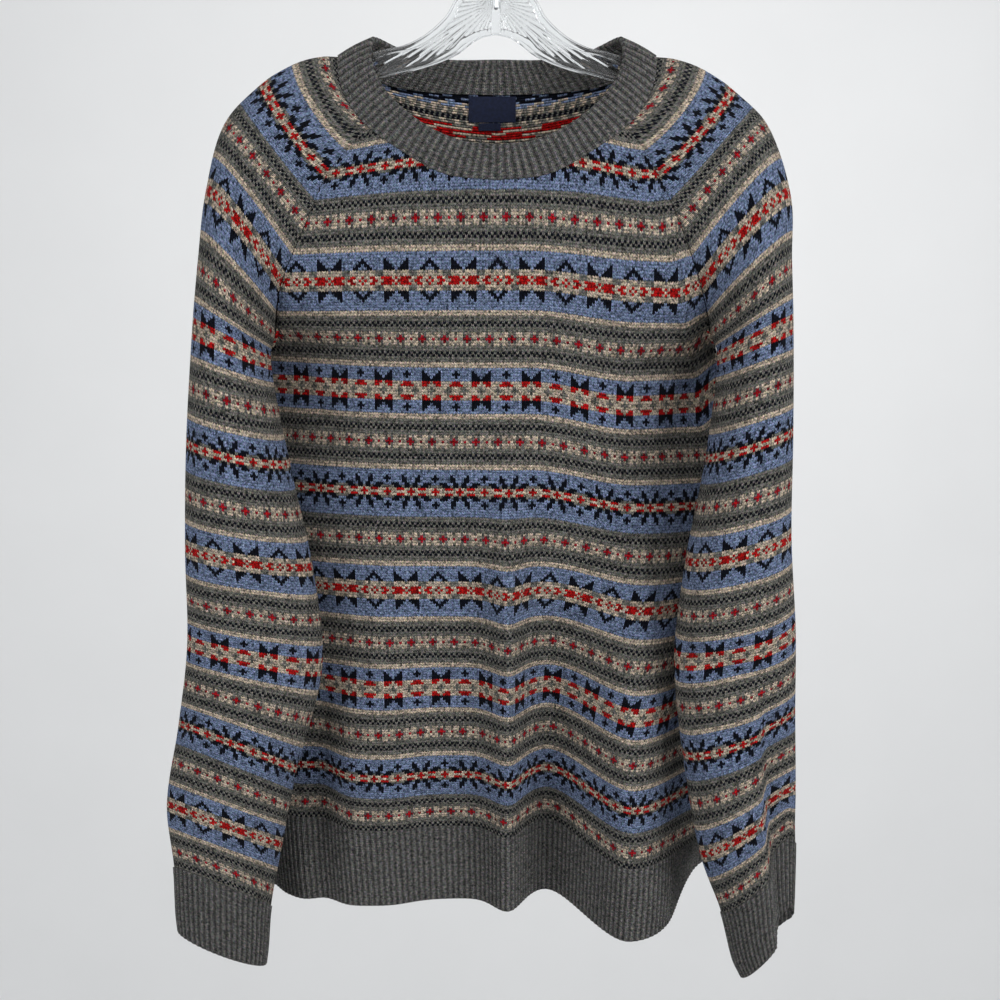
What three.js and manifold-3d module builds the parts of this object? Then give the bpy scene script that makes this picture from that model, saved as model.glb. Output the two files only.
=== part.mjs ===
// A raglan crew-neck jumper in patterned stranded knit, hanging on a clear plastic hanger.
// Millimetres, +Z up, the front faces -Y, +X is the right hand side as seen from the front.
// The origin is the inside top of the hanger's hook, where a rail carries it.
// The knit is a thin wall laid out in its own courses: a row number counts courses up from the
// top of the hem rib on the body, and from the top of the cuff rib on a sleeve.
import * as THREE from "three";
import { mergeVertices } from "three/addons/utils/BufferGeometryUtils.js";
import Module from "manifold-3d";

// Wall thicknesses and seams
const KNIT = 2;
const RIB_KNIT = 2;
const RIB_RELIEF = 0.8;
const SEAM_GAP = 0.3;
const UNDERARM_GAP = 2.2;
const CUFF_SEAM_DROP = 0.7;
const RIB_PITCH = 4.8;
const NECK_RIB_PITCH = 5.8;

// Courses where the pieces meet
const HEM_ROW = -28;
const CUFF_ROW = -33;
const UNDERARM_ROW = 200;
const SLEEVE_AHEAD = 42;
const FRONT_NECK_ROW = 250;
const FRONT_SEAM_TOP_ROW = 274;
const BACK_SEAM_TOP_ROW = 286;
const BACK_NECK_ROW = 289;
const SHOULDER_TOP_ROW = 283;

// How late on its way up the yoke each piece is drawn in to the neck, how far from its seams a
// panel's folds die out, and how deep the front neck is scooped
const SLEEVE_DRAW_IN = 3;
const PANEL_DRAW_IN = 2.5;
const CALM_EDGE = 0.12;
const NECK_SCOOP = 2.2;

// Grid sizes
const FRONT_COLUMNS = 32;
const BACK_COLUMNS = 20;
const SLEEVE_COLUMNS = 20;
const YOKE_LEVELS = 7;
const BODY_ROWS = [0, 10, 24, 43, 62, 82, 102, 122, 140, 160, 178, 190, UNDERARM_ROW];
const SLEEVE_ROWS = [0, 12, 28, 47, 66, 85, 104, 124, 144, 163, 182, 201, 220, 232];

// Left and right sleeves: the two outline points of the ring at a course, the ring's middle depth,
// its half depth, and how far it stands open towards the body, in degrees
const SLEEVES = {
  left: [
    { row: -33, outX: -265, outZ: -812, inX: -194, inZ: -843, y: -56, half: 24, open: 0 },
    { row: -24, outX: -266, outZ: -797, inX: -192, inZ: -829, y: -56, half: 25, open: 0 },
    { row: 0, outX: -266, outZ: -756, inX: -188, inZ: -790, y: -56, half: 28, open: 0 },
    { row: 28, outX: -269, outZ: -700, inX: -177, inZ: -736, y: -57, half: 33, open: 0 },
    { row: 66, outX: -256, outZ: -631, inX: -163, inZ: -670, y: -58, half: 37, open: 0 },
    { row: 104, outX: -246, outZ: -561, inX: -140, inZ: -583, y: -58, half: 40, open: 0 },
    { row: 144, outX: -245, outZ: -484, inX: -146, inZ: -501, y: -54, half: 43, open: 0 },
    { row: 182, outX: -242, outZ: -402, inX: -163, inZ: -420, y: -45, half: 47, open: 0 },
    { row: 220, outX: -236, outZ: -316, inX: -178, inZ: -342, y: -30, half: 50, open: 0 },
    { row: 242, outX: -232, outZ: -264, inX: -175, inZ: -317, y: -16, half: 50, open: 0 },
    { row: 260, outX: -226, outZ: -218, inX: -166, inZ: -280, y: -9, half: 49, open: 36 },
    { row: 280, outX: -211, outZ: -163, inX: -146, inZ: -235, y: -5, half: 47, open: 58 },
    { row: 298, outX: -181, outZ: -129, inX: -130, inZ: -198, y: -2, half: 44, open: 70 },
    { row: 308, outX: -155, outZ: -114, inX: -114, inZ: -177, y: -1, half: 41, open: 74 },
    { row: 316, outX: -136, outZ: -109, inX: -100, inZ: -162, y: 0, half: 39, open: 77 },
    { row: 325, outX: -122, outZ: -109, inX: -88, inZ: -158, y: 0, half: 38, open: 80 },
  ],
  right: [
    { row: -33, outX: 242, outZ: -791, inX: 201, inZ: -843, y: -76, half: 22, open: 0 },
    { row: -24, outX: 242, outZ: -773, inX: 194, inZ: -828, y: -76, half: 23, open: 0 },
    { row: 0, outX: 241, outZ: -728, inX: 183, inZ: -786, y: -76, half: 27, open: 0 },
    { row: 28, outX: 239, outZ: -678, inX: 164, inZ: -734, y: -76, half: 32, open: 0 },
    { row: 66, outX: 236, outZ: -611, inX: 148, inZ: -649, y: -74, half: 36, open: 0 },
    { row: 104, outX: 234, outZ: -545, inX: 140, inZ: -571, y: -70, half: 40, open: 0 },
    { row: 144, outX: 229, outZ: -472, inX: 148, inZ: -494, y: -62, half: 44, open: 0 },
    { row: 182, outX: 229, outZ: -393, inX: 163, inZ: -415, y: -50, half: 48, open: 0 },
    { row: 220, outX: 229, outZ: -313, inX: 173, inZ: -338, y: -32, half: 50, open: 0 },
    { row: 242, outX: 229, outZ: -264, inX: 168, inZ: -317, y: -16, half: 50, open: 0 },
    { row: 260, outX: 228, outZ: -219, inX: 157, inZ: -282, y: -9, half: 49, open: 36 },
    { row: 280, outX: 210, outZ: -165, inX: 140, inZ: -235, y: -5, half: 47, open: 58 },
    { row: 298, outX: 183, outZ: -134, inX: 124, inZ: -198, y: -2, half: 44, open: 70 },
    { row: 308, outX: 159, outZ: -118, inX: 114, inZ: -177, y: -1, half: 41, open: 74 },
    { row: 316, outX: 140, outZ: -111, inX: 102, inZ: -162, y: 0, half: 39, open: 77 },
    { row: 325, outX: 124, outZ: -109, inX: 90, inZ: -158, y: 0, half: 38, open: 80 },
  ],
};

// Height of each course at the middle of the front and of the back, and the two middle depths
const BODY_MIDDLE = [
  { row: -28, frontZ: -790, backZ: -790, frontY: -42, backY: 52 },
  { row: 0, frontZ: -727, backZ: -727, frontY: -38, backY: 52 },
  { row: 24, frontZ: -680, backZ: -680, frontY: -44, backY: 55 },
  { row: 62, frontZ: -605, backZ: -605, frontY: -44, backY: 54 },
  { row: 102, frontZ: -523.5, backZ: -523, frontY: -44, backY: 52 },
  { row: 140, frontZ: -443.5, backZ: -443, frontY: -44, backY: 50 },
  { row: 178, frontZ: -363, backZ: -363, frontY: -46, backY: 50 },
  { row: 200, frontZ: -316, backZ: -318, frontY: -49, backY: 50 },
  { row: 218, frontZ: -277.5, backZ: -282, frontY: -51, backY: 50 },
  { row: 250, frontZ: -203, backZ: -215, frontY: -54, backY: 48 },
  { row: 274, frontZ: -150, backZ: -165, frontY: -52, backY: 46 },
  { row: 289, frontZ: -118, backZ: -135, frontY: -50, backY: 45 },
];

// Side seams below the underarm: where they run, how far a course hangs lower there than at the
// middle, and how square the front and back turn into the side
const BODY_SIDE = [
  { row: -28, leftX: -204, rightX: 203, leftY: 18, rightY: 26, leftDrop: 4, rightDrop: -4, square: 3.4 },
  { row: 0, leftX: -211, rightX: 209, leftY: 18, rightY: 20, leftDrop: 4, rightDrop: 10, square: 3.4 },
  { row: 24, leftX: -214, rightX: 211, leftY: 19, rightY: 20, leftDrop: 5, rightDrop: 11, square: 3.2 },
  { row: 62, leftX: -216, rightX: 212, leftY: 21, rightY: 21, leftDrop: 5, rightDrop: 11, square: 3 },
  { row: 102, leftX: -216, rightX: 212, leftY: 22, rightY: 22, leftDrop: 5, rightDrop: 11, square: 2.7 },
  { row: 140, leftX: -206, rightX: 202, leftY: 24, rightY: 24, leftDrop: 4, rightDrop: 10, square: 2.5 },
  { row: 178, leftX: -188, rightX: 181, leftY: 20, rightY: 20, leftDrop: 2, rightDrop: 5, square: 2.3 },
  { row: 191, leftX: -175.5, rightX: 168.5, leftY: 0, rightY: 0, leftDrop: 1, rightDrop: 2, square: 2.2 },
];

// Drape of the front and the back: a soft ridge (+) or trough (-) that fades in between two heights
const FRONT_FOLDS = [
  { name: "middle ridge", topX: 8, hemX: 9, startZ: -400, fullZ: -560, left: 17, right: 13, height: 24 },
  { name: "middle trough", topX: 52, hemX: 44, startZ: -440, fullZ: -700, left: 18, right: 24, height: -20 },
  { name: "right lobe", topX: 130, hemX: 109, startZ: -400, fullZ: -680, left: 34, right: 46, height: 50 },
  { name: "left ridge", topX: -96, hemX: -92, startZ: -440, fullZ: -680, left: 26, right: 26, height: 11 },
  { name: "left trough", topX: -142, hemX: -146, startZ: -560, fullZ: -727, left: 14, right: 16, height: -12 },
  { name: "turned hem", topX: 186, hemX: 178, startZ: -740, fullZ: -790, left: 24, right: 20, height: -34 },
];
const BACK_FOLDS = [
  { name: "left sweep", topX: -110, hemX: -132, startZ: -380, fullZ: -680, left: 40, right: 44, height: 24 },
  { name: "left hollow", topX: -40, hemX: -62, startZ: -420, fullZ: -700, left: 26, right: 30, height: -16 },
  { name: "middle swell", topX: 20, hemX: 6, startZ: -430, fullZ: -700, left: 30, right: 28, height: 18 },
  { name: "right hollow", topX: 78, hemX: 70, startZ: -440, fullZ: -700, left: 26, right: 24, height: -14 },
  { name: "right sweep", topX: 132, hemX: 142, startZ: -400, fullZ: -690, left: 34, right: 30, height: 22 },
];

// Hollows pressed into the sleeves, by course and by the place round the ring: 0 is the front
// edge next to the body, 0.5 the outer edge and 1 the back edge next to the body
const SLEEVE_FOLDS = {
  left: [
    { name: "elbow", row: 128, round: 0.2, rows: 22, turn: 0.1, depth: 6 },
    { name: "upper back", row: 190, round: 0.72, rows: 30, turn: 0.1, depth: 7 },
    { name: "lower back", row: 70, round: 0.7, rows: 30, turn: 0.1, depth: 6 },
  ],
  right: [
    { name: "cuff crease", row: -6, round: 0.32, rows: 52, turn: 0.045, depth: 11 },
    { name: "elbow", row: 96, round: 0.2, rows: 20, turn: 0.1, depth: 6 },
    { name: "upper back", row: 184, round: 0.72, rows: 30, turn: 0.1, depth: 7 },
    { name: "lower back", row: 60, round: 0.68, rows: 30, turn: 0.1, depth: 6 },
  ],
};

// The neck rib from the middle of the front (0) by the raglan seam, the shoulder (0.5) and the back
// raglan seam to the middle of the back (1): its sewn edge and its free edge
const NECK = [
  { at: 0, sewnX: 0, sewnY: -54, sewnZ: -202, freeX: 0, freeY: -50, freeZ: -177 },
  { at: 0.08, sewnX: 37, sewnY: -52, sewnZ: -198, freeX: 27, freeY: -49, freeZ: -174 },
  { at: 0.16, sewnX: 66, sewnY: -47, sewnZ: -184, freeX: 53, freeY: -44, freeZ: -163 },
  { at: 0.25, sewnX: 97, sewnY: -38, sewnZ: -163, freeX: 77, freeY: -34, freeZ: -145 },
  { at: 0.33, sewnX: 111, sewnY: -29, sewnZ: -147, freeX: 90, freeY: -24, freeZ: -129 },
  { at: 0.4, sewnX: 120, sewnY: -16, sewnZ: -128, freeX: 97, freeY: -14, freeZ: -113 },
  { at: 0.46, sewnX: 122, sewnY: -6, sewnZ: -111.5, freeX: 98, freeY: -5, freeZ: -98 },
  { at: 0.5, sewnX: 122, sewnY: 0, sewnZ: -109, freeX: 98, freeY: 0, freeZ: -93.5 },
  { at: 0.54, sewnX: 121, sewnY: 7, sewnZ: -109.5, freeX: 97, freeY: 6, freeZ: -93 },
  { at: 0.6, sewnX: 115, sewnY: 19, sewnZ: -112.5, freeX: 91, freeY: 17, freeZ: -95 },
  { at: 0.66, sewnX: 106, sewnY: 28, sewnZ: -118, freeX: 82, freeY: 27, freeZ: -99 },
  { at: 0.75, sewnX: 88, sewnY: 37, sewnZ: -127, freeX: 67, freeY: 36, freeZ: -105 },
  { at: 0.87, sewnX: 50, sewnY: 43, sewnZ: -133, freeX: 36, freeY: 42, freeZ: -109 },
  { at: 1, sewnX: 0, sewnY: 45, sewnZ: -135, freeX: 0, freeY: 45, freeZ: -109 },
];
const NECK_SEAM_AT = 0.25;

// Woven neck label and size tab, on the inside of the back
const LABEL = { left: -23, right: 15, drop: 1, height: 20, thickness: 0.6 };
const SIZE_TAB = { left: -15, right: 3, drop: 21.6, height: 6, thickness: 0.6 };

// Hanger: outline of its right half seen from the front, and the hook's wire
const HANGER_THICKNESS = 7;
const HANGER_BEVEL = 1.2;
const HANGER_TILT = 0.6;
const HANGER_TOP = [
  { x: 0, z: -50 },
  { x: 9, z: -51 },
  { x: 20, z: -56 },
  { x: 31, z: -67 },
  { x: 39, z: -80 },
  { x: 54, z: -93 },
  { x: 70, z: -101 },
  { x: 86, z: -104.5 },
  { x: 104, z: -109.5 },
  { x: 122, z: -115.2 },
  { x: 138, z: -115.8 },
  { x: 156, z: -121.8 },
  { x: 170, z: -129.6 },
  { x: 184, z: -140.4 },
  { x: 195, z: -152 },
  { x: 199, z: -163 },
];
const HANGER_BOTTOM = [
  { x: 190, z: -166 },
  { x: 170, z: -153 },
  { x: 142, z: -141 },
  { x: 112, z: -132 },
  { x: 90, z: -127 },
  { x: 66, z: -121 },
  { x: 46, z: -115 },
  { x: 30, z: -108 },
  { x: 19, z: -100 },
  { x: 10, z: -95 },
  { x: 0, z: -93 },
];
const HOOK_WIRE = 3.4;
const HOOK_INSIDE_RADIUS = 19;
const HOOK_SHANK_BOTTOM = -73;
const HOOK_END_ANGLE = 200;
const SHANK_TOP = -47;
const SHANK_BORE = 4.2;
const HALF_OUTLINE_POINTS = 44;
const HOOK_STEPS = 38;
const HOOK_ARC_STEP = 17.5;

const COLOURS = {
  knit: 0x8a8a92,
  rib: 0x696864,
  label: 0x1a2340,
  hanger: 0xdfe6ea,
  hook: 0xb9bcc0,
};

const { sin, cos, abs, PI, min, max, pow, exp, round } = Math;
const degrees = PI / 180;
const clamp01 = (t) => min(1, max(0, t));
const ease = (t) => clamp01(t) * clamp01(t) * (3 - 2 * clamp01(t));
const mix = (a, b, t) => a + (b - a) * t;
const vector = (x, y, z) => new THREE.Vector3(x, y, z);
const steps = (count) => Array.from({ length: count + 1 }, (_, i) => i / count);

// A smooth curve through one column of a table, read at a value of its key column
function column(table, key, name, at) {
  const last = table.length - 1;
  let i = 0;
  while (i < last - 1 && at > table[i + 1][key]) i++;
  const slope = (k) => {
    const a = table[max(0, k - 1)];
    const b = table[min(last, k + 1)];
    return (b[name] - a[name]) / (b[key] - a[key]);
  };
  const span = table[i + 1][key] - table[i][key];
  const t = (at - table[i][key]) / span;
  const a = table[i][name];
  const b = table[i + 1][name];
  const keep = a * (1 + 2 * t) * (1 - t) * (1 - t) + b * t * t * (3 - 2 * t);
  return keep + span * (slope(i) * t * (1 - t) * (1 - t) - slope(i + 1) * t * t * (1 - t));
}

// Neck rib edges: "sewn" or "free", on the left (-1) or the right (1)
function neckEdge(edge, side, at) {
  const x = column(NECK, "at", edge + "X", at);
  const y = column(NECK, "at", edge + "Y", at);
  const z = column(NECK, "at", edge + "Z", at);
  return vector(side * x, y, z);
}

// Sleeve ring point: round runs 0 to 1 from the front seam over the outer edge to the back seam
function sleeveRing(name, roundAt, row) {
  const table = SLEEVES[name];
  const value = (key) => column(table, "row", key, row);
  const open = max(0, value("open")) * degrees * (row > UNDERARM_ROW + SLEEVE_AHEAD ? 1 : 0);
  const angle = mix(open, 2 * PI - open, roundAt);
  const across = (cos(open) - cos(angle)) / (1 + cos(open));
  const point = vector(
    mix(value("inX"), value("outX"), across),
    value("y") - value("half") * sin(angle),
    mix(value("inZ"), value("outZ"), across),
  );
  const middle = vector(
    (value("inX") + value("outX")) / 2,
    value("y"),
    (value("inZ") + value("outZ")) / 2,
  );
  let pressed = 0;
  for (const fold of SLEEVE_FOLDS[name]) {
    const up = (row - fold.row) / fold.rows;
    const along = (roundAt - fold.round) / fold.turn;
    pressed += fold.depth * exp(-up * up - along * along);
  }
  return point.add(middle.sub(point).setLength(pressed));
}

// Course of a sleeve's top edge, and its level between the underarm (0) and the neck (1)
function sleeveTopRow(roundAt) {
  const front = FRONT_SEAM_TOP_ROW + SLEEVE_AHEAD;
  const back = BACK_SEAM_TOP_ROW + SLEEVE_AHEAD;
  const top = SHOULDER_TOP_ROW + SLEEVE_AHEAD;
  const rise = sin(PI * roundAt);
  return roundAt < 0.5 ? front + (top - front) * rise : back + (top - back) * rise;
}

function sleeveYoke(name, roundAt, level) {
  const start = UNDERARM_ROW + SLEEVE_AHEAD;
  const side = name === "left" ? -1 : 1;
  const top = sleeveTopRow(roundAt);
  const point = sleeveRing(name, roundAt, mix(start, top, level));
  const atNeck = neckEdge("sewn", side, mix(NECK_SEAM_AT, 1 - NECK_SEAM_AT, roundAt));
  const shift = atNeck.sub(sleeveRing(name, roundAt, top));
  return point.addScaledVector(shift, level ** SLEEVE_DRAW_IN);
}

function drape(folds, x, z) {
  let out = 0;
  for (const fold of folds) {
    const t = ease((fold.startZ - z) / (fold.startZ - fold.fullZ));
    const away = x - mix(fold.topX, fold.hemX, t);
    const spread = away / (away < 0 ? fold.left : fold.right);
    out += fold.height * t * exp(-spread * spread);
  }
  return out;
}

// Front or back panel; across runs -1 to 1 from the left seam to the right seam
const PANELS = {
  front: { face: -1, middleZ: "frontZ", middleY: "frontY", folds: FRONT_FOLDS, seamRound: 0 },
  back: { face: 1, middleZ: "backZ", middleY: "backY", folds: BACK_FOLDS, seamRound: 1 },
};
PANELS.front.topRow = (across) =>
  FRONT_NECK_ROW + (FRONT_SEAM_TOP_ROW - FRONT_NECK_ROW) * pow(abs(across), NECK_SCOOP);
PANELS.back.topRow = (across) => mix(BACK_NECK_ROW, BACK_SEAM_TOP_ROW, abs(across));

function sideSeam(side, row, panel) {
  if (row >= UNDERARM_ROW) {
    const level = (row - UNDERARM_ROW) / (PANELS[panel].topRow(1) - UNDERARM_ROW);
    return sleeveYoke(side, PANELS[panel].seamRound, level);
  }
  const underarm = sleeveYoke(side, 0, 0);
  const table = BODY_SIDE.map((section) => ({
    row: section.row,
    x: section[side + "X"],
    y: section[side + "Y"],
    z: column(BODY_MIDDLE, "row", "frontZ", section.row) - section[side + "Drop"],
  }));
  table.push({ row: UNDERARM_ROW, x: underarm.x, y: underarm.y, z: underarm.z });
  return vector(...["x", "y", "z"].map((name) => column(table, "row", name, row)));
}

function panelCourse(panel, across, row) {
  const { face, middleZ, middleY, folds } = PANELS[panel];
  const left = sideSeam("left", row, panel);
  const right = sideSeam("right", row, panel);
  const near = across < 0 ? left : right;
  const width = abs(across);
  const x = mix(left.x, right.x, (across + 1) / 2);
  const z = mix(column(BODY_MIDDLE, "row", middleZ, row), near.z, width * width);
  const square = column(BODY_SIDE, "row", "square", min(row, BODY_SIDE.at(-1).row));
  const crown = 1 - pow(width, square);
  const calm = ease((1 - width) / CALM_EDGE);
  const y = mix(near.y, column(BODY_MIDDLE, "row", middleY, row), crown);
  return vector(x, y + face * calm * drape(folds, x, z), z);
}

function panelYoke(panel, across, level) {
  const top = PANELS[panel].topRow(across);
  const point = panelCourse(panel, across, mix(UNDERARM_ROW, top, level));
  const side = across < 0 ? -1 : 1;
  const seamAt = NECK_SEAM_AT * abs(across);
  const atNeck = neckEdge("sewn", side, panel === "front" ? seamAt : 1 - seamAt);
  const shift = atNeck.sub(panelCourse(panel, across, top));
  return point.addScaledVector(shift, level ** PANEL_DRAW_IN);
}

// Outward directions of a grid of points, from its rows and columns
function outward(grid, closed, turn) {
  const rows = grid.length - 1;
  return grid.map((line, i) =>
    line.map((_, j) => {
      const columns = line.length - 1;
      const before = j > 0 ? j - 1 : closed(i) ? columns - 1 : 0;
      const after = j < columns ? j + 1 : closed(i) ? 1 : columns;
      const along = line[after].clone().sub(line[before]);
      const up = grid[min(rows, i + 1)][j].clone().sub(grid[max(0, i - 1)][j]);
      return along.cross(up).multiplyScalar(turn).normalize();
    }),
  );
}

function buildPanel(panel, columns) {
  const places = steps(columns).map((t) => 2 * t - 1);
  const lower = BODY_ROWS.map((row) => places.map((across) => panelCourse(panel, across, row)));
  const levels = steps(YOKE_LEVELS).slice(1);
  const yoke = levels.map((level) => places.map((across) => panelYoke(panel, across, level)));
  const points = [...lower, ...yoke];
  const turn = panel === "front" ? 1 : -1;
  return { points, normals: outward(points, () => false, turn), places, underarm: BODY_ROWS.length - 1 };
}

function buildSleeve(name) {
  const places = steps(SLEEVE_COLUMNS);
  const lower = SLEEVE_ROWS.map((row) => places.map((at) => sleeveRing(name, at, row)));
  const levels = steps(YOKE_LEVELS);
  const yoke = levels.map((level) => places.map((at) => sleeveYoke(name, at, level)));
  const points = [...lower, ...yoke];
  const underarm = SLEEVE_ROWS.length;
  const turn = name === "left" ? -1 : 1;
  return { points, normals: outward(points, (i) => i <= underarm, turn), places, underarm };
}

// Draws the edges of two grids together along their seam, a gap apart, with one shared cut
function sew(a, columnA, rowA, b, columnB, rowB, count) {
  const seam = [];
  for (let k = 0; k < count; k++) seam.push(a.points[rowA + k][columnA].clone());
  const inward = (piece, at, row) => piece.points[row][at === 0 ? 1 : piece.points[row].length - 2];
  for (let k = 0; k < count; k++) {
    const tangent = seam[min(count - 1, k + 1)].clone().sub(seam[max(0, k - 1)]);
    const across = inward(b, columnB, rowB + k).clone().sub(inward(a, columnA, rowA + k)).normalize();
    const normal = tangent.cross(across).normalize();
    if (normal.dot(a.normals[rowA + k][columnA]) < 0) normal.negate();
    a.points[rowA + k][columnA] = seam[k].clone().addScaledVector(across, -SEAM_GAP / 2);
    b.points[rowB + k][columnB] = seam[k].clone().addScaledVector(across, SEAM_GAP / 2);
    a.normals[rowA + k][columnA] = normal;
    b.normals[rowB + k][columnB] = normal.clone();
  }
}

// A closed solid from an outer grid and an inner one with a whole number of outer columns to one
// inner column; joined(i) says whether row i closes on itself
function wall(outer, inner, joined) {
  const vertices = [];
  const keep = (grid) =>
    grid.map((line, i) => {
      const ids = line.map((point) => vertices.push(point) - 1);
      if (joined(i)) ids[ids.length - 1] = ids[0];
      return ids;
    });
  const out = keep(outer);
  const back = keep(inner);
  const faces = [];
  const quad = (a, b, c, d) => {
    if (a !== b) faces.push([a, b, c]);
    if (c !== d) faces.push([a, c, d]);
  };
  const top = out.length - 1;
  for (let i = 0; i < top; i++) {
    for (let j = 0; j < out[i].length - 1; j++) {
      quad(out[i][j], out[i][j + 1], out[i + 1][j + 1], out[i + 1][j]);
    }
    for (let j = 0; j < back[i].length - 1; j++) {
      quad(back[i][j + 1], back[i][j], back[i + 1][j], back[i + 1][j + 1]);
    }
  }
  const each = (out[0].length - 1) / (back[0].length - 1);
  const half = Math.ceil(each / 2);
  const rim = (o, n, flip) => {
    const push = (a, b, c) => faces.push(flip ? [a, c, b] : [a, b, c]);
    for (let j = 0; j < n.length - 1; j++) {
      for (let m = 0; m < each; m++) {
        push(o[j * each + m + 1], o[j * each + m], m < half ? n[j] : n[j + 1]);
      }
      push(n[j], n[j + 1], o[j * each + half]);
    }
  };
  rim(out[0], back[0], false);
  rim(out[top], back[top], true);
  for (let i = 0; i < top; i++) {
    if (joined(i) && joined(i + 1)) continue;
    const o = [out[i], out[i + 1]];
    const n = [back[i], back[i + 1]];
    const lastO = o[0].length - 1;
    const lastN = n[0].length - 1;
    quad(o[0][0], o[1][0], n[1][0], n[0][0]);
    quad(o[1][lastO], o[0][lastO], n[0][lastN], n[1][lastN]);
  }
  return solid(vertices, faces);
}

function solid(vertices, faces) {
  let volume = 0;
  for (const [a, b, c] of faces) {
    volume += vertices[a].dot(vertices[b].clone().cross(vertices[c]));
  }
  const index = faces.flatMap(([a, b, c]) => (volume < 0 ? [a, c, b] : [a, b, c]));
  const geometry = new THREE.BufferGeometry();
  geometry.setAttribute(
    "position",
    new THREE.Float32BufferAttribute(vertices.flatMap((v) => v.toArray()), 3),
  );
  geometry.setIndex(index);
  return mergeVertices(geometry, 1e-4);
}

const inside = (piece, thickness) =>
  piece.points.map((line, i) =>
    line.map((point, j) => point.clone().addScaledVector(piece.normals[i][j], -thickness)),
  );

// A point at a fractional place along a list of points
function between(points, at) {
  const place = clamp01(at) * (points.length - 1);
  const i = min(points.length - 2, Math.floor(place));
  return points[i].clone().lerp(points[i + 1], place - i);
}

const flat = (normal) => vector(normal.x, normal.y, 0).normalize();

// Ribbing that carries on from a knitted edge: rows of points, plain inside, raised outside.
// curve(at, t) is the band's plain face, t = 0 at the seam and 1 at the free edge, and
// cut(at, t, normal) turns the wall at its seams
function ribbing({ curve, cut, length, pitch, levels, closed, turn }) {
  const ribsToAnInnerColumn = 2;
  const innerColumns = round(length / pitch / ribsToAnInnerColumn);
  const lines = (columns) => {
    const grid = levels.map((t) => steps(columns).map((at) => curve(at, t)));
    const normals = outward(grid, () => closed, turn).map((line, i) =>
      line.map((normal, j) => cut(j / columns, levels[i], normal)),
    );
    return { grid, normals };
  };
  const shifted = ({ grid, normals }, move) =>
    grid.map((line, i) => line.map((point, j) => point.clone().addScaledVector(normals[i][j], move(j))));
  const fine = lines(innerColumns * ribsToAnInnerColumn * 2);
  const outer = shifted(fine, (j) => (j % 2 === 1 ? RIB_RELIEF : 0));
  const inner = shifted(lines(innerColumns), () => -RIB_KNIT);
  return wall(outer, inner, () => closed);
}

function lengthOf(points) {
  let total = 0;
  for (let i = 1; i < points.length; i++) total += points[i].distanceTo(points[i - 1]);
  return total;
}

// Hem rib of one panel, hung from the panel's lowest row
function hemRib(panel, piece) {
  const { face } = PANELS[panel];
  const curve = (at, t) => {
    if (t === 0) return between(piece.points[0], at).add(vector(0, 0, -SEAM_GAP));
    const point = panelCourse(panel, 2 * at - 1, HEM_ROW * t);
    if (at === 0 || at === 1) point.y += (face * SEAM_GAP) / 2;
    return point;
  };
  const cut = (at, t, normal) => {
    if (at === 0 || at === 1) return vector(2 * at - 1, 0, 0);
    return t === 0 ? flat(normal) : normal;
  };
  const length = lengthOf(steps(80).map((at) => panelCourse(panel, 2 * at - 1, HEM_ROW)));
  return ribbing({ curve, cut, length, pitch: RIB_PITCH, levels: [0, 1], closed: false, turn: face });
}

function cuff(name, piece) {
  const curve = (at, t) =>
    t === 0
      ? between(piece.points[0], at).add(vector(0, 0, -CUFF_SEAM_DROP))
      : sleeveRing(name, at, CUFF_ROW * t);
  const cut = (at, t, normal) => (t === 0 ? flat(normal) : normal);
  const length = lengthOf(steps(60).map((at) => sleeveRing(name, at, CUFF_ROW)));
  const turn = name === "left" ? 1 : -1;
  return ribbing({ curve, cut, length, pitch: RIB_PITCH, levels: [0, 0.4, 1], closed: true, turn });
}

// Direction square to the neck rib at its sewn edge, the cut that it shares with the pieces below
function neckNormal(side, at) {
  const after = neckEdge("sewn", side, min(1, at + 0.01));
  const before = neckEdge("sewn", side, max(0, at - 0.01));
  const up = neckEdge("free", side, at).sub(neckEdge("sewn", side, at));
  return after.sub(before).cross(up).multiplyScalar(side).normalize();
}

// Places round the neck seam: 0 and 4 at the front middle, 1 left shoulder, 2 back, 3 right shoulder
const neckSide = (place) => (place <= 2 ? -1 : 1);
const neckAt = (place) => (place <= 2 ? place : 4 - place) / 2;

// The top edges of the four pieces below the neck rib, as one ring of points with their places
function neckSeam(front, back, left, right) {
  const ring = [];
  const add = (piece, placeOf) =>
    piece.places.forEach((at, j) => ring.push({ place: placeOf(at), point: piece.points.at(-1)[j] }));
  add(front, (across) => (across <= 0 ? -across / 2 : 4 - across / 2));
  add(left, (at) => 0.5 + at);
  add(back, (across) => 2 + across / 2);
  add(right, (at) => 3.5 - at);
  ring.push({ place: 4, point: neckEdge("sewn", 1, 0) });
  return ring.sort((a, b) => a.place - b.place);
}

function neckband(ring) {
  const seam = (place) => {
    const after = max(1, ring.findIndex((entry) => entry.place >= place));
    const [a, b] = [ring[after - 1], ring[after]];
    const t = b.place === a.place ? 0 : (place - a.place) / (b.place - a.place);
    return a.point.clone().lerp(b.point, clamp01(t));
  };
  const curve = (at, t) => {
    const place = 4 * at;
    const sewn = neckEdge("sewn", neckSide(place), neckAt(place));
    const free = neckEdge("free", neckSide(place), neckAt(place));
    if (t > 0) return sewn.lerp(free, t);
    return seam(place).addScaledVector(free.sub(sewn).normalize(), SEAM_GAP);
  };
  const cut = (at, t, normal) => (t === 0 ? neckNormal(neckSide(4 * at), neckAt(4 * at)) : normal);
  const length = lengthOf(steps(120).map((at) => curve(at, 0.5)));
  return ribbing({ curve, cut, length, pitch: NECK_RIB_PITCH, levels: [0, 0.5, 1], closed: true, turn: -1 });
}

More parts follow.
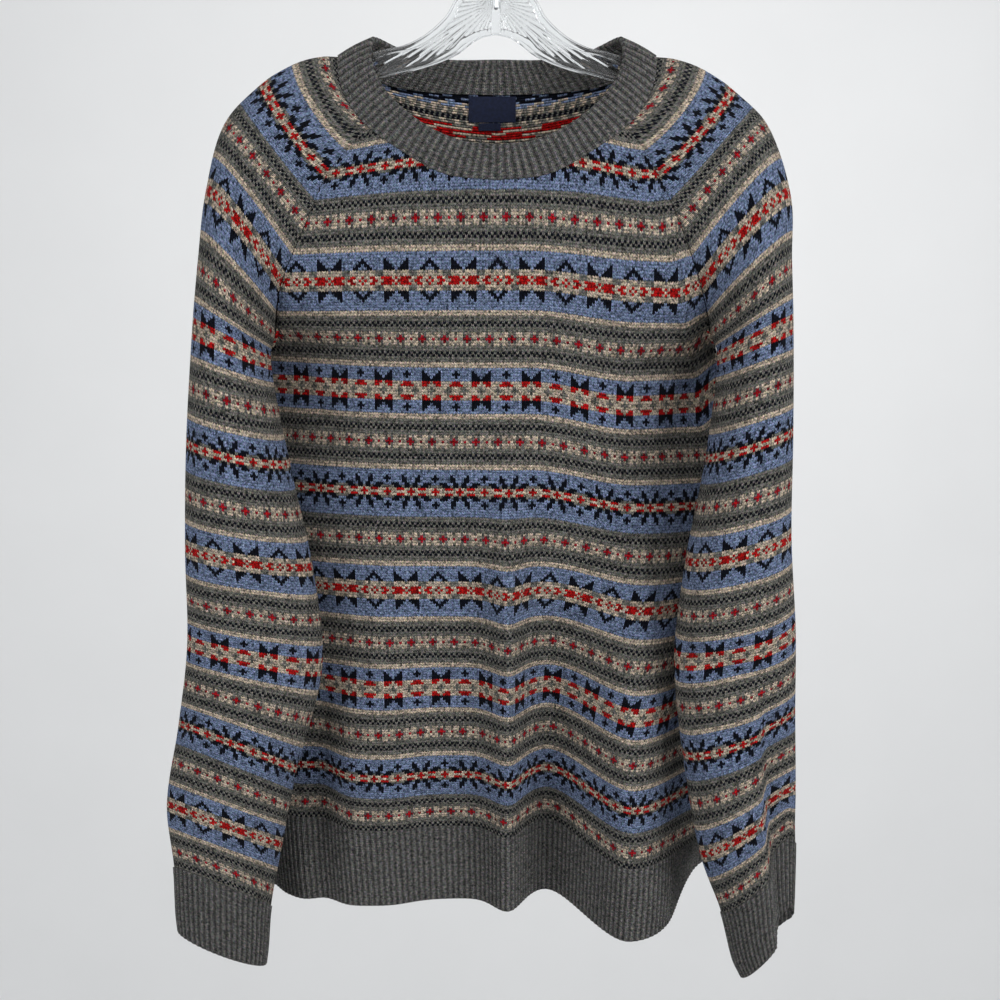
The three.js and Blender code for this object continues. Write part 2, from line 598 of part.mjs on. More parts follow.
// The point of the back's inner face at a given x and height, and the way into the garment there
function insideBack(x, z) {
  const yokeHalfWidth = 180;
  const yokeHeight = 200;
  let across = 0;
  let atLevel = 1;
  const surface = (a, l) => panelYoke("back", a, l);
  for (let i = 0; i < 30; i++) {
    const point = surface(across, atLevel);
    across += (x - point.x) / yokeHalfWidth;
    atLevel += (z - point.z) / yokeHeight;
  }
  const step = 0.02;
  const along = surface(across + step, atLevel).sub(surface(across - step, atLevel));
  const up = surface(across, atLevel + step).sub(surface(across, atLevel - step));
  const inward = along.cross(up).normalize();
  return { point: surface(across, atLevel).addScaledVector(inward, KNIT), inward };
}

// A small woven tab on the inside of the back, below the neck rib
function wovenTab({ left, right, drop, height, thickness }) {
  const standOff = 0.5;
  const top = neckEdge("sewn", 1, 1).z - drop;
  const rows = [0, 0.5, 1].map((t) =>
    steps(4).map((at) => insideBack(mix(left, right, at), top - height * (1 - t))),
  );
  const face = (out) => rows.map((row) => row.map((s) => s.point.clone().addScaledVector(s.inward, out)));
  return wall(face(standOff + thickness), face(standOff), () => false);
}

function asGeometry(manifold) {
  const mesh = manifold.getMesh();
  const geometry = new THREE.BufferGeometry();
  geometry.setAttribute("position", new THREE.BufferAttribute(new Float32Array(mesh.vertProperties), 3));
  geometry.setIndex(new THREE.BufferAttribute(new Uint32Array(mesh.triVerts), 1));
  return geometry;
}

function closedGeometry(geometry) {
  geometry.deleteAttribute("normal");
  geometry.deleteAttribute("uv");
  return mergeVertices(geometry, 1e-4);
}

async function hanger() {
  const halfOutline = [...HANGER_TOP, ...HANGER_BOTTOM].map(({ x, z }) => new THREE.Vector2(x, z));
  const rightSide = new THREE.SplineCurve(halfOutline).getPoints(HALF_OUTLINE_POINTS);
  const leftSide = rightSide.slice(1, -1).reverse().map((p) => new THREE.Vector2(-p.x, p.y));
  const plate = new THREE.ExtrudeGeometry(new THREE.Shape([...rightSide, ...leftSide]), {
    depth: HANGER_THICKNESS - 2 * HANGER_BEVEL,
    bevelSize: HANGER_BEVEL,
    bevelOffset: -HANGER_BEVEL,
    bevelThickness: HANGER_BEVEL,
    bevelSegments: 1,
  });
  plate.translate(0, 0, -(HANGER_THICKNESS - 2 * HANGER_BEVEL) / 2).rotateX(PI / 2);
  const boreTop = SHANK_TOP;
  const boreBottom = HOOK_SHANK_BOTTOM - SEAM_GAP;
  const bore = new THREE.CylinderGeometry(SHANK_BORE / 2, SHANK_BORE / 2, boreTop - boreBottom, 16);
  bore.rotateX(PI / 2).translate(0, 0, (boreTop + boreBottom) / 2);
  const wasm = await Module();
  wasm.setup();
  const body = (geometry) => {
    const closed = closedGeometry(geometry);
    const vertProperties = closed.attributes.position.array;
    const triVerts = new Uint32Array(closed.index.array);
    return new wasm.Manifold(new wasm.Mesh({ numProp: 3, vertProperties, triVerts }));
  };
  return asGeometry(body(plate).subtract(body(bore)));
}

// The hook's wire: straight out of the hanger, a bend to the right, then round over the top
function hook() {
  const radius = HOOK_INSIDE_RADIUS + HOOK_WIRE / 2;
  const onArc = (angle) =>
    vector(radius * cos(angle * degrees), 0, radius * sin(angle * degrees) - HOOK_INSIDE_RADIUS);
  const arc = [];
  for (let angle = -45; angle <= HOOK_END_ANGLE; angle += HOOK_ARC_STEP) arc.push(onArc(angle));
  const shank = steps(4).map((t) => vector(0, 0, mix(HOOK_SHANK_BOTTOM, SHANK_TOP, t)));
  const bend = [vector(1.6, 0, -43), vector(6.2, 0, -38.4)];
  const path = new THREE.CatmullRomCurve3([...shank, ...bend, ...arc]);
  const section = new THREE.Shape();
  section.absarc(0, 0, HOOK_WIRE / 2, 0, 2 * PI);
  const wire = new THREE.ExtrudeGeometry(section, { extrudePath: path, steps: HOOK_STEPS, curveSegments: 4 });
  return closedGeometry(wire);
}

function mesh(name, geometry, colour, roughness, metalness) {
  const material = new THREE.MeshStandardMaterial({ color: colour, roughness, metalness });
  const piece = new THREE.Mesh(geometry, material);
  piece.name = name;
  return piece;
}

const front = buildPanel("front", FRONT_COLUMNS);
const back = buildPanel("back", BACK_COLUMNS);
const left = buildSleeve("left");
const right = buildSleeve("right");

// Side seams below the underarm, then the raglan seams above it
for (const end of [0, 1]) {
  const frontColumn = end * FRONT_COLUMNS;
  const backColumn = end * BACK_COLUMNS;
  const sleeve = end === 0 ? left : right;
  sew(front, frontColumn, 0, back, backColumn, 0, BODY_ROWS.length);
  const aboveSleeve = sleeve.underarm + 1;
  sew(front, frontColumn, front.underarm + 1, sleeve, 0, aboveSleeve, YOKE_LEVELS);
  sew(back, backColumn, back.underarm + 1, sleeve, SLEEVE_COLUMNS, aboveSleeve, YOKE_LEVELS);
}

// The sleeve's underarm point stands a little off the two panels
for (const [sleeve, side] of [[left, -1], [right, 1]]) {
  for (const j of [0, SLEEVE_COLUMNS]) {
    sleeve.points[sleeve.underarm][j].x += side * UNDERARM_GAP;
    sleeve.normals[sleeve.underarm][j] = vector(-side, 0, -0.3).normalize();
  }
}

// Level cuts at the hem and cuff seams, and the neck rib's own cut at the neck seam
for (const piece of [front, back, left, right]) {
  piece.normals[0] = piece.normals[0].map(flat);
}
const topCut = (piece, side, at) => {
  piece.normals[piece.normals.length - 1] = piece.places.map((place) => neckNormal(side(place), at(place)));
};
topCut(front, (across) => (across <= 0 ? -1 : 1), (across) => NECK_SEAM_AT * abs(across));
topCut(back, (across) => (across <= 0 ? -1 : 1), (across) => 1 - NECK_SEAM_AT * abs(across));
topCut(left, () => -1, (at) => mix(NECK_SEAM_AT, 1 - NECK_SEAM_AT, at));
topCut(right, () => 1, (at) => mix(NECK_SEAM_AT, 1 - NECK_SEAM_AT, at));

const knit = (piece, joined) => wall(piece.points, inside(piece, KNIT), joined);
const open = () => false;
const tube = (piece) => (i) => i <= piece.underarm;

// The hanger turns on the rail a little towards the right shoulder
const carried = new THREE.Group();
carried.rotation.y = HANGER_TILT * degrees;
carried.add(
  mesh("hanger", await hanger(), COLOURS.hanger, 0.1, 0),
  mesh("hanger_hook", hook(), COLOURS.hook, 0.25, 1),
);

const jumper = new THREE.Group();
jumper.add(
  mesh("front", knit(front, open), COLOURS.knit, 0.95, 0),
  mesh("back", knit(back, open), COLOURS.knit, 0.95, 0),
  mesh("sleeve_left", knit(left, tube(left)), COLOURS.knit, 0.95, 0),
  mesh("sleeve_right", knit(right, tube(right)), COLOURS.knit, 0.95, 0),
  mesh("neckband", neckband(neckSeam(front, back, left, right)), COLOURS.rib, 0.95, 0),
  mesh("hem_rib_front", hemRib("front", front), COLOURS.rib, 0.95, 0),
  mesh("hem_rib_back", hemRib("back", back), COLOURS.rib, 0.95, 0),
  mesh("cuff_left", cuff("left", left), COLOURS.rib, 0.95, 0),
  mesh("cuff_right", cuff("right", right), COLOURS.rib, 0.95, 0),
  mesh("neck_label", wovenTab(LABEL), COLOURS.label, 0.6, 0),
  mesh("size_tab", wovenTab(SIZE_TAB), COLOURS.label, 0.6, 0),
  carried,
);

export default jumper;
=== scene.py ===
# A raglan crew-neck jumper in stranded knit on a clear plastic hanger, as a Blender add-on.
# Shapes are worked out in millimetres in the part's own frame and turned to metres in each mesh.
import math

import bpy
import numpy as np
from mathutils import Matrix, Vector


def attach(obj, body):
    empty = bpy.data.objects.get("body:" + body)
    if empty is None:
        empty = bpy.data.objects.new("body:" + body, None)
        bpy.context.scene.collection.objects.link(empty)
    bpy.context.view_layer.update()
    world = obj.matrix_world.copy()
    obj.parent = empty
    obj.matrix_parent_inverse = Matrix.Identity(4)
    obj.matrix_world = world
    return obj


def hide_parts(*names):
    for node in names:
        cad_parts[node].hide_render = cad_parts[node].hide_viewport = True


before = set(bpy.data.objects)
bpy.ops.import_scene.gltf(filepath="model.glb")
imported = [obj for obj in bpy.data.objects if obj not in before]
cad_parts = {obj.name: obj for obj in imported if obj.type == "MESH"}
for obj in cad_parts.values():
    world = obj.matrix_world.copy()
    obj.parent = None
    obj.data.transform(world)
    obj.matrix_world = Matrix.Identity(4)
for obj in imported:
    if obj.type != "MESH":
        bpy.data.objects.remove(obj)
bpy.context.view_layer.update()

bl_info = {
    "name": "Stranded knit jumper",
    "version": (1, 0, 0),
    "blender": (4, 5, 0),
    "location": "3D View > Sidebar > Jumper",
    "description": "Builds a patterned raglan jumper on a clear hanger, piece by piece",
    "category": "Object",
}

MM = 0.001

# Courses where the pieces meet, as on the solids
HEM_ROW = -28
CUFF_ROW = -33
UNDERARM_ROW = 200
SLEEVE_AHEAD = 42
FRONT_NECK_ROW = 250
FRONT_SEAM_TOP_ROW = 274
BACK_SEAM_TOP_ROW = 286
BACK_NECK_ROW = 289
SHOULDER_TOP_ROW = 283
NECK_SEAM_AT = 0.25
SLEEVE_DRAW_IN = 3
PANEL_DRAW_IN = 2.5
CALM_EDGE = 0.12
BACK_NECK_EXTRA_COURSES = 2.5
NECK_SCOOP = 2.2
UNDERARM_GAP = 1.4
FRONT_MIDDLE_X = 0.7


def table(columns, *rows):
    """A short table as named columns."""
    return dict(zip(columns.split(), np.array(rows, float).T))


# The two outline points of a sleeve's ring at a course, the ring's middle depth and half depth,
# and how far it stands open towards the body, in degrees
SLEEVES = {
    "left": table(
        "row out_x out_z in_x in_z y half open",
        (-33, -265, -812, -194, -843, -56, 24, 0),
        (-24, -266, -797, -192, -829, -56, 25, 0),
        (0, -266, -756, -188, -790, -56, 28, 0),
        (28, -269, -700, -177, -736, -57, 33, 0),
        (66, -256, -631, -163, -670, -58, 37, 0),
        (104, -246, -561, -140, -583, -58, 40, 0),
        (144, -245, -484, -146, -501, -54, 43, 0),
        (182, -242, -402, -163, -420, -45, 47, 0),
        (220, -236, -316, -178, -342, -30, 50, 0),
        (242, -232, -264, -175, -317, -16, 50, 0),
        (260, -226, -218, -166, -280, -9, 49, 36),
        (280, -211, -163, -146, -235, -5, 47, 58),
        (298, -181, -129, -130, -198, -2, 44, 70),
        (308, -155, -114, -114, -177, -1, 41, 74),
        (316, -136, -109, -100, -162, 0, 39, 77),
        (325, -122, -109, -88, -158, 0, 38, 80),
    ),
    "right": table(
        "row out_x out_z in_x in_z y half open",
        (-33, 242, -791, 201, -843, -76, 22, 0),
        (-24, 242, -773, 194, -828, -76, 23, 0),
        (0, 241, -728, 183, -786, -76, 27, 0),
        (28, 239, -678, 164, -734, -76, 32, 0),
        (66, 236, -611, 148, -649, -74, 36, 0),
        (104, 234, -545, 140, -571, -70, 40, 0),
        (144, 229, -472, 148, -494, -62, 44, 0),
        (182, 229, -393, 163, -415, -50, 48, 0),
        (220, 229, -313, 173, -338, -32, 50, 0),
        (242, 229, -264, 168, -317, -16, 50, 0),
        (260, 228, -219, 157, -282, -9, 49, 36),
        (280, 210, -165, 140, -235, -5, 47, 58),
        (298, 183, -134, 124, -198, -2, 44, 70),
        (308, 159, -118, 114, -177, -1, 41, 74),
        (316, 140, -111, 102, -162, 0, 39, 77),
        (325, 124, -109, 90, -158, 0, 38, 80),
    ),
}

# Height of each course at the middle of the front and the back, and the two middle depths
BODY_MIDDLE = table(
    "row front_z back_z front_y back_y",
    (-28, -790, -790, -42, 52),
    (0, -727, -727, -38, 52),
    (24, -680, -680, -44, 55),
    (62, -605, -605, -44, 54),
    (102, -523.5, -523, -44, 52),
    (140, -443.5, -443, -44, 50),
    (178, -363, -363, -46, 50),
    (200, -316, -318, -49, 50),
    (218, -277.5, -282, -51, 50),
    (250, -203, -215, -54, 48),
    (274, -150, -165, -52, 46),
    (289, -118, -135, -50, 45),
)

# Side seams below the underarm, how far a course hangs lower there, and how square the body turns
BODY_SIDE = table(
    "row left_x right_x left_y right_y left_drop right_drop square",
    (-28, -204, 203, 18, 26, 12, -22, 3.4),
    (0, -211, 209, 18, 20, 4, 10, 3.4),
    (24, -214, 211, 19, 20, 5, 11, 3.2),
    (62, -216, 212, 21, 21, 5, 11, 3),
    (102, -216, 212, 22, 22, 5, 11, 2.7),
    (140, -206, 202, 24, 24, 4, 10, 2.5),
    (178, -190, 183, 22, 22, 2, 5, 2.3),
    (191, -184, 178, 10, 10, 1, 2, 2.2),
)

# How far the front's courses sag on the right of the middle
FRONT_SAG = table(
    "row drop",
    (-28, 22),
    (0, 15),
    (24, 11),
    (62, 11),
    (102, 11),
    (140, 12),
    (178, 13),
    (218, 7),
    (250, 3),
    (274, 0),
    (289, 0),
)
SAG_STARTS_X = 25
SAG_FULL_X = 110

# Drape: soft ridges (+) and troughs (-) that fade in on their way down
DRAPE_COLUMNS = "top_x hem_x start_z full_z left right height"
FRONT_DRAPE = table(
    DRAPE_COLUMNS,
    (8, 9, -400, -560, 17, 13, 24),
    (52, 44, -440, -700, 18, 24, -20),
    (130, 109, -400, -680, 34, 46, 50),
    (-96, -92, -440, -680, 26, 26, 11),
    (-142, -146, -560, -727, 14, 16, -12),
    (186, 178, -740, -790, 24, 20, -34),
    (-118, -124, -560, -680, 22, 22, 10),
    (-152, -156, -700, -790, 44, 26, 17),
    (138, 140, -735, -790, 24, 12, 14),
)
BACK_DRAPE = table(
    DRAPE_COLUMNS,
    (-110, -132, -380, -680, 40, 44, 24),
    (-40, -62, -420, -700, 26, 30, -16),
    (20, 6, -430, -700, 30, 28, 18),
    (78, 70, -440, -700, 26, 24, -14),
    (132, 142, -400, -690, 34, 30, 22),
)

# Hollows pressed into the sleeves, by course and by the place round the ring
SLEEVE_HOLLOWS = {
    "left": table(
        "row round rows turn depth",
        (128, 0.2, 22, 0.1, 6),
        (190, 0.72, 30, 0.1, 7),
        (70, 0.7, 30, 0.1, 6),
    ),
    "right": table(
        "row round rows turn depth",
        (-6, 0.32, 52, 0.045, 11),
        (96, 0.2, 20, 0.1, 6),
        (184, 0.72, 30, 0.1, 7),
        (60, 0.68, 30, 0.1, 6),
    ),
}

# How much higher a course runs over the front of a sleeve than over its back
SLEEVE_LIFT = {
    "left": table(
        "row lift",
        (-33, 7),
        (0, 18),
        (28, 16),
        (66, 18),
        (104, 9),
        (144, 5),
        (182, 4),
        (220, 8),
        (242, 13),
        (260, 19),
        (280, 10),
        (298, 1),
        (325, 0),
    ),
    "right": table(
        "row lift",
        (-33, 6),
        (0, 8),
        (28, 6),
        (66, 2),
        (104, 0),
        (144, 4),
        (182, 7),
        (220, 9),
        (242, 14),
        (260, 18),
        (280, 12),
        (298, 1),
        (325, 0),
    ),
}

# The right cuff is folded over: its outer part lies farther back and a little farther out, higher
# beside the fold and lower at its outer edge
CUFF_LAP = table(
    "row back lift out",
    (-33, 30, 14, 5),
    (0, 29, 14, 5),
    (28, 17, 8, 3),
    (66, 6, 2, 1),
    (96, 0, 0, 0),
    (325, 0, 0, 0),
)

# Creases: from one point to another across the cloth, half width and height (a minus is a trough).
# Panels give x and z; sleeves give the distance round from the front seam and up from the cuff rib
CREASE_COLUMNS = "from_a from_b to_a to_b half height"
CREASES = {
    "front": table(
        CREASE_COLUMNS,
        (-168, -322, -118, -352, 9, -3.2),
        (-165, -338, -132, -402, 10, -3.0),
        (-150, -300, -112, -300, 9, 1.8),
        (164, -326, 112, -350, 10, -3.4),
        (166, -345, 138, -420, 11, -3.2),
        (150, -300, 104, -290, 9, 1.8),
        (-40, -250, -60, -330, 16, 1.6),
        (52, -240, 70, -330, 16, 1.6),
        (-176, -470, -140, -560, 12, -2.4),
        (168, -520, 150, -640, 10, -2.6),
    ),
    "back": table(
        CREASE_COLUMNS,
        (-168, -322, -116, -356, 10, -3.2),
        (-160, -345, -128, -420, 11, -2.8),
        (164, -326, 110, -352, 10, -3.2),
        (160, -345, 132, -430, 11, -2.8),
        (-70, -210, -30, -330, 18, 1.8),
        (70, -200, 46, -320, 18, 1.8),
        (-150, -520, -96, -600, 14, -2.2),
        (156, -500, 110, -590, 14, -2.2),
    ),
    "left": table(
        CREASE_COLUMNS,
        (12, 480, 60, 520, 8, -3.0),
        (10, 448, 74, 468, 9, -2.6),
        (20, 300, 84, 250, 10, -2.8),
        (14, 262, 70, 196, 9, -2.4),
        (40, 90, 104, 46, 10, -2.2),
        (24, 60, 70, 14, 8, -2.4),
        (186, 470, 244, 505, 10, -2.6),
        (180, 280, 240, 240, 11, -2.4),
        (176, 90, 226, 40, 10, -2.2),
    ),
    "right": table(
        CREASE_COLUMNS,
        (12, 478, 64, 516, 8, -3.0),
        (10, 440, 70, 462, 9, -2.6),
        (18, 230, 86, 190, 10, -2.8),
        (14, 186, 62, 140, 9, -2.2),
        (88, 96, 118, 20, 9, -2.4),
        (186, 466, 240, 500, 10, -2.6),
        (178, 260, 236, 215, 11, -2.4),
        (170, 90, 220, 44, 10, -2.2),
    ),
}
SLEEVE_ROUND = 260
COURSE_HEIGHT = 2.1

# The neck rib from the front middle (0) by the shoulder (0.5) to the back middle (1)
NECK = table(
    "at sewn_x sewn_y sewn_z free_x free_y free_z",
    (0, 0, -54, -202, 0, -50, -177),
    (0.08, 37, -52, -198, 27, -49, -174),
    (0.16, 66, -47, -184, 53, -44, -163),
    (0.25, 97, -38, -163, 77, -34, -145),
    (0.33, 111, -29, -147, 90, -24, -129),
    (0.4, 120, -16, -128, 97, -14, -113),
    (0.46, 122, -6, -111.5, 97.5, -5.5, -99.5),
    (0.5, 122, 0, -109, 96.5, 1, -95.5),
    (0.54, 121, 7, -109.5, 94.5, 7, -94.5),
    (0.6, 115, 19, -112.5, 90, 17, -95.5),
    (0.66, 106, 28, -118, 82, 27, -99),
    (0.75, 88, 37, -127, 67, 36, -105),
    (0.87, 50, 43, -133, 36, 42, -109),
    (1, 0, 45, -135, 0, 45, -109),
)

# Right half of the hanger: its top and its bottom edge
HANGER_TOP = table(
    "x z",
    (0, -50), (9, -51), (20, -56), (31, -67), (39, -80), (54, -93), (70, -101), (86, -104.5),
    (104, -109.5), (122, -115.2), (138, -115.8), (156, -121.8), (170, -129.6), (184, -140.4),
    (195, -152), (199, -163),
)
HANGER_BOTTOM = table(
    "x z",
    (0, -93), (10, -95), (19, -100), (30, -108), (46, -115), (66, -121), (90, -127), (112, -132),
    (142, -141), (170, -153), (190, -166), (196, -166),
)
HANGER_TILT = 0.6
HANGER_TIP_X = 188
FAN_CENTRE_Z = -68
STRAP_NOTCH = (92, -103)
STRAP_NOTCH_RADIUS = 4
POST_HALF_WIDTH = 3.6
POST_BOTTOM_Z = -93
FINE_FLUTES_FROM = 40
HOOK_INSIDE_RADIUS = 19
HANGER_COLUMNS = 241
HANGER_ROWS = 61

# The photograph's camera: its place in metres, its tilt from straight down in degrees, and its lens and
# sensor in millimetres
CAMERA_PLACE = (0.0023, -1.17378, -0.20851)
CAMERA_TILT = 78
CAMERA_LENS = 52.68
CAMERA_SENSOR = 36

# Yarn letters of the charts: grey, oatmeal, blue, navy, red and crimson
YARNS = {"g": "grey", "o": "oatmeal", "b": "blue", "n": "navy", "r": "red", "c": "crimson"}

# Half charts, mirrored about their first stitch and about their middle course. rows run from the
# middle course outwards, and ground gives the plain courses as (first course, yarn)
BANDS = (
    {
        "name": "star",
        "middle": 24,
        "courses": (-9, 10),
        "repeat": 18,
        "shift": -5,
        "ground": ((-9, "b"), (9, "o")),
        "rows": (
            "rroooooorr",
            "rooorrroor",
            "gggnnngnng",
            "bbnnnbbnnb",
            "nbbbbbnnbb",
            "nnbbbbnnbb",
            "nbbbbbnbbb",
        ),
    },
    {
        "name": "cross",
        "middle": 62,
        "courses": (-10, 10),
        "repeat": 18,
        "shift": 3,
        "ground": ((-10, "o"), (-8, "b"), (9, "o")),
        "rows": (
            "oogggooogg",
            "ooogooooog",
            "rrrooorroo",
            "rroooorrro",
            "bbbbbbnnnn",
            "nbbbbbnnnb",
            "nnbbbbnnbb",
            "nbbbbbnbbb",
        ),
    },
    {
        "name": "crown",
        "middle": 102,
        "courses": (-12, 11),
        "repeat": 24,
        "shift": 0,
        "ground": ((-12, "o"), (-10, "b"), (10, "o")),
        "rows": (
            "oroorroorrrro",
            "roorroorrrror",
            "ooooogggooooo",
            "oogoogggoooog",
            "bbnnbbbbnnnnb",
            "bnnbbbbbnnnbb",
            "nnbbbbbbnnbbb",
            "nbbbbbbbnbbbb",
        ),
    },
)
PEERIES = ((6, 3), (43, 0), (81, -3))
PEERIE_REPEAT = 8
PEERIE_ROWS = ("rcgoc", "cgooo", "ogoog", "ggggg")
CHECK_COURSES = (5, 6)
PATTERN_COURSES = 116
# Courses nearer than this to a line of small diamonds take that line's shift
PEERIE_REACH = 12.0

# Wrong side: the floats from a motif's middle outwards, the yarn of the stitches that show between
# them, how many stitches from one such gap to the next, and the share of it that the gap takes
FLOAT_COLUMNS = ("from_middle", "float", "between", "every", "share")
SMALL_FLOATS = (
    (0, "r", "o", 26, 0.2),
    (1, "r", "o", 26, 0.55),
    (2, "r", "g", 26, 0.3),
    (3, "o", "g", 5, 0.5),
    (5, "n", "g", 2, 0.4),
    (7, "g", "o", 4, 0.45),
)
LARGE_FLOATS = (
    (0, "r", "o", 11, 0.4),
    (3, "n", "b", 12, 0.3),
    (8, "b", "o", 9, 0.4),
    (10, "o", "g", 4, 0.4),
)


def smooth(columns, name, at):
    """A smooth curve through one column of a table, read at values of its first column."""
    keys = next(iter(columns.values()))
    values = columns[name]
    last = len(keys) - 1
    at = np.asarray(at, float)
    i = np.clip(np.searchsorted(keys, at) - 1, 0, last - 1)
    before = np.maximum(np.arange(last + 1) - 1, 0)
    after = np.minimum(np.arange(last + 1) + 1, last)
    slope = (values[after] - values[before]) / (keys[after] - keys[before])
    span = keys[i + 1] - keys[i]
    t = (at - keys[i]) / span
    level = values[i] * (1 + 2 * t) * (1 - t) ** 2 + values[i + 1] * t * t * (3 - 2 * t)
    return level + span * (slope[i] * t * (1 - t) ** 2 - slope[i + 1] * t * t * (1 - t))


def mix(a, b, t):
    return a + (b - a) * t


def ease(t):
    t = np.clip(t, 0, 1)
    return t * t * (3 - 2 * t)


def xyz(x, y, z):
    return np.stack(np.broadcast_arrays(x, y, z), axis=-1).astype(float)


def unit(v):
    return v / np.maximum(np.linalg.norm(v, axis=-1, keepdims=True), 1e-12)


def neck_edge(edge, side, at):
    """The sewn or the free edge of the neck rib, on the left (-1) or the right (1)."""
    x, y, z = (smooth(NECK, f"{edge}_{axis}", at) for axis in "xyz")
    return xyz(side * x, y, z)


def sleeve_ring(side, around, row):
    """Points of a sleeve's ring: around runs 0 to 1 from the front seam to the back seam."""
    around, row = np.broadcast_arrays(np.asarray(around, float), np.asarray(row, float))
    value = {name: smooth(SLEEVES[side], name, row) for name in SLEEVES[side] if name != "row"}
    above = row > UNDERARM_ROW + SLEEVE_AHEAD
    opened = np.radians(np.maximum(0, value["open"])) * above
    angle = mix(opened, 2 * np.pi - opened, around)
    across = (np.cos(opened) - np.cos(angle)) / (1 + np.cos(opened))
    point = xyz(
        mix(value["in_x"], value["out_x"], across),
        value["y"] - value["half"] * np.sin(angle),
        mix(value["in_z"], value["out_z"], across),
    )
    middle = xyz(
        (value["in_x"] + value["out_x"]) / 2,
        value["y"],
        (value["in_z"] + value["out_z"]) / 2,
    )
    lift = smooth(SLEEVE_LIFT[side], "lift", row) * np.sin(2 * np.pi * around)
    point[..., 2] += lift
    if side == "right":
        lapped = ease((around - 0.285) / 0.03) * ease((0.72 - around) / 0.36)
        point[..., 0] += lapped * smooth(CUFF_LAP, "out", row)
        point[..., 1] += lapped * smooth(CUFF_LAP, "back", row)
        level = 1 - 2 * ease((around - 0.3) / 0.24)
        point[..., 2] += lapped * level * smooth(CUFF_LAP, "lift", row)
    pressed = 0
    hollows = SLEEVE_HOLLOWS[side]
    for at_row, at_round, rows, turn, depth in zip(*hollows.values()):
        up = (row - at_row) / rows
        along = (around - at_round) / turn
        pressed = pressed + depth * np.exp(-up * up - along * along)
    pressed = pressed - crease(CREASES[side], around * SLEEVE_ROUND, row * COURSE_HEIGHT)
    return point + unit(middle - point) * pressed[..., None]


def crease(creases, a, b):
    """Height of the creases at places on the cloth."""
    out = np.zeros(np.broadcast(a, b).shape)
    for from_a, from_b, to_a, to_b, half, height in zip(*creases.values()):
        run = np.array([to_a - from_a, to_b - from_b])
        length = np.hypot(*run)
        run = run / length
        along = ((a - from_a) * run[0] + (b - from_b) * run[1]) / length
        off = ((a - from_a) * -run[1] + (b - from_b) * run[0]) / half
        ends = ease((along + 0.25) / 0.4) * ease((1.25 - along) / 0.6)
        out = out + height * ends * np.exp(-off * off)
    return out


def sleeve_top_row(around):
    rise = np.sin(np.pi * around)
    front = FRONT_SEAM_TOP_ROW + SLEEVE_AHEAD
    back = BACK_SEAM_TOP_ROW + SLEEVE_AHEAD
    top = SHOULDER_TOP_ROW + SLEEVE_AHEAD
    return np.where(around < 0.5, mix(front, top, rise), mix(back, top, rise))


def sleeve_yoke(side, around, level):
    """Sleeve points above the underarm, drawn in to the neck rib; level runs 0 to 1."""
    around, level = np.broadcast_arrays(np.asarray(around, float), np.asarray(level, float))
    top = sleeve_top_row(around)
    point = sleeve_ring(side, around, mix(UNDERARM_ROW + SLEEVE_AHEAD, top, level))
    sign = -1 if side == "left" else 1
    at_neck = neck_edge("sewn", sign, mix(NECK_SEAM_AT, 1 - NECK_SEAM_AT, around))
    shift = at_neck - sleeve_ring(side, around, top)
    return point + shift * (level**SLEEVE_DRAW_IN)[..., None]


def drape(folds, x, z):
    out = 0
    for top_x, hem_x, start_z, full_z, left, right, height in zip(*folds.values()):
        t = ease((start_z - z) / (start_z - full_z))
        away = x - mix(top_x, hem_x, t)
        spread = away / np.where(away < 0, left, right)
        out = out + height * t * np.exp(-spread * spread)
    return out


PANELS = {
    "front": {"face": -1, "drape": FRONT_DRAPE, "seam_round": 0.0},
    "back": {"face": 1, "drape": BACK_DRAPE, "seam_round": 1.0},
}


def panel_top_row(panel, across):
    width = np.abs(across)
    if panel == "front":
        return mix(FRONT_NECK_ROW, FRONT_SEAM_TOP_ROW, width**NECK_SCOOP)
    return mix(BACK_NECK_ROW, BACK_SEAM_TOP_ROW, width)


def side_seam(side, row, panel):
    row = np.asarray(row, float)
    top = panel_top_row(panel, np.array(1.0))
    level = np.clip((row - UNDERARM_ROW) / (top - UNDERARM_ROW), 0, 1)
    raglan = sleeve_yoke(side, PANELS[panel]["seam_round"], level)
    underarm = sleeve_yoke(side, 0.0, 0.0)
    rows = BODY_SIDE["row"]
    heights = smooth(BODY_MIDDLE, "front_z", rows) - BODY_SIDE[f"{side}_drop"]
    seam = {
        "row": np.append(rows, UNDERARM_ROW),
        "x": np.append(BODY_SIDE[f"{side}_x"], underarm[0]),
        "y": np.append(BODY_SIDE[f"{side}_y"], underarm[1]),
        "z": np.append(heights, underarm[2]),
    }
    below = xyz(*(smooth(seam, axis, np.minimum(row, UNDERARM_ROW)) for axis in "xyz"))
    return np.where((row >= UNDERARM_ROW)[..., None], raglan, below)


def panel_course(panel, across, row):
    """Points of the front or the back; across runs -1 to 1 from the left to the right seam."""
    across, row = np.broadcast_arrays(np.asarray(across, float), np.asarray(row, float))
    face = PANELS[panel]["face"]
    left = side_seam("left", row, panel)
    right = side_seam("right", row, panel)
    near = np.where((across < 0)[..., None], left, right)
    width = np.abs(across)
    x = mix(left[..., 0], right[..., 0], (across + 1) / 2)
    z = mix(smooth(BODY_MIDDLE, f"{panel}_z", row), near[..., 2], width * width)
    square = smooth(BODY_SIDE, "square", np.minimum(row, BODY_SIDE["row"][-1]))
    crown = 1 - width**square
    calm = ease((1 - width) / CALM_EDGE)
    y = mix(near[..., 1], smooth(BODY_MIDDLE, f"{panel}_y", row), crown)
    if panel == "front":
        across_sag = ease((x - SAG_STARTS_X) / (SAG_FULL_X - SAG_STARTS_X))
        z = z - smooth(FRONT_SAG, "drop", row) * across_sag * calm
    folds = drape(PANELS[panel]["drape"], x, z) + crease(CREASES[panel], x, z)
    return xyz(x, y + face * calm * folds, z)


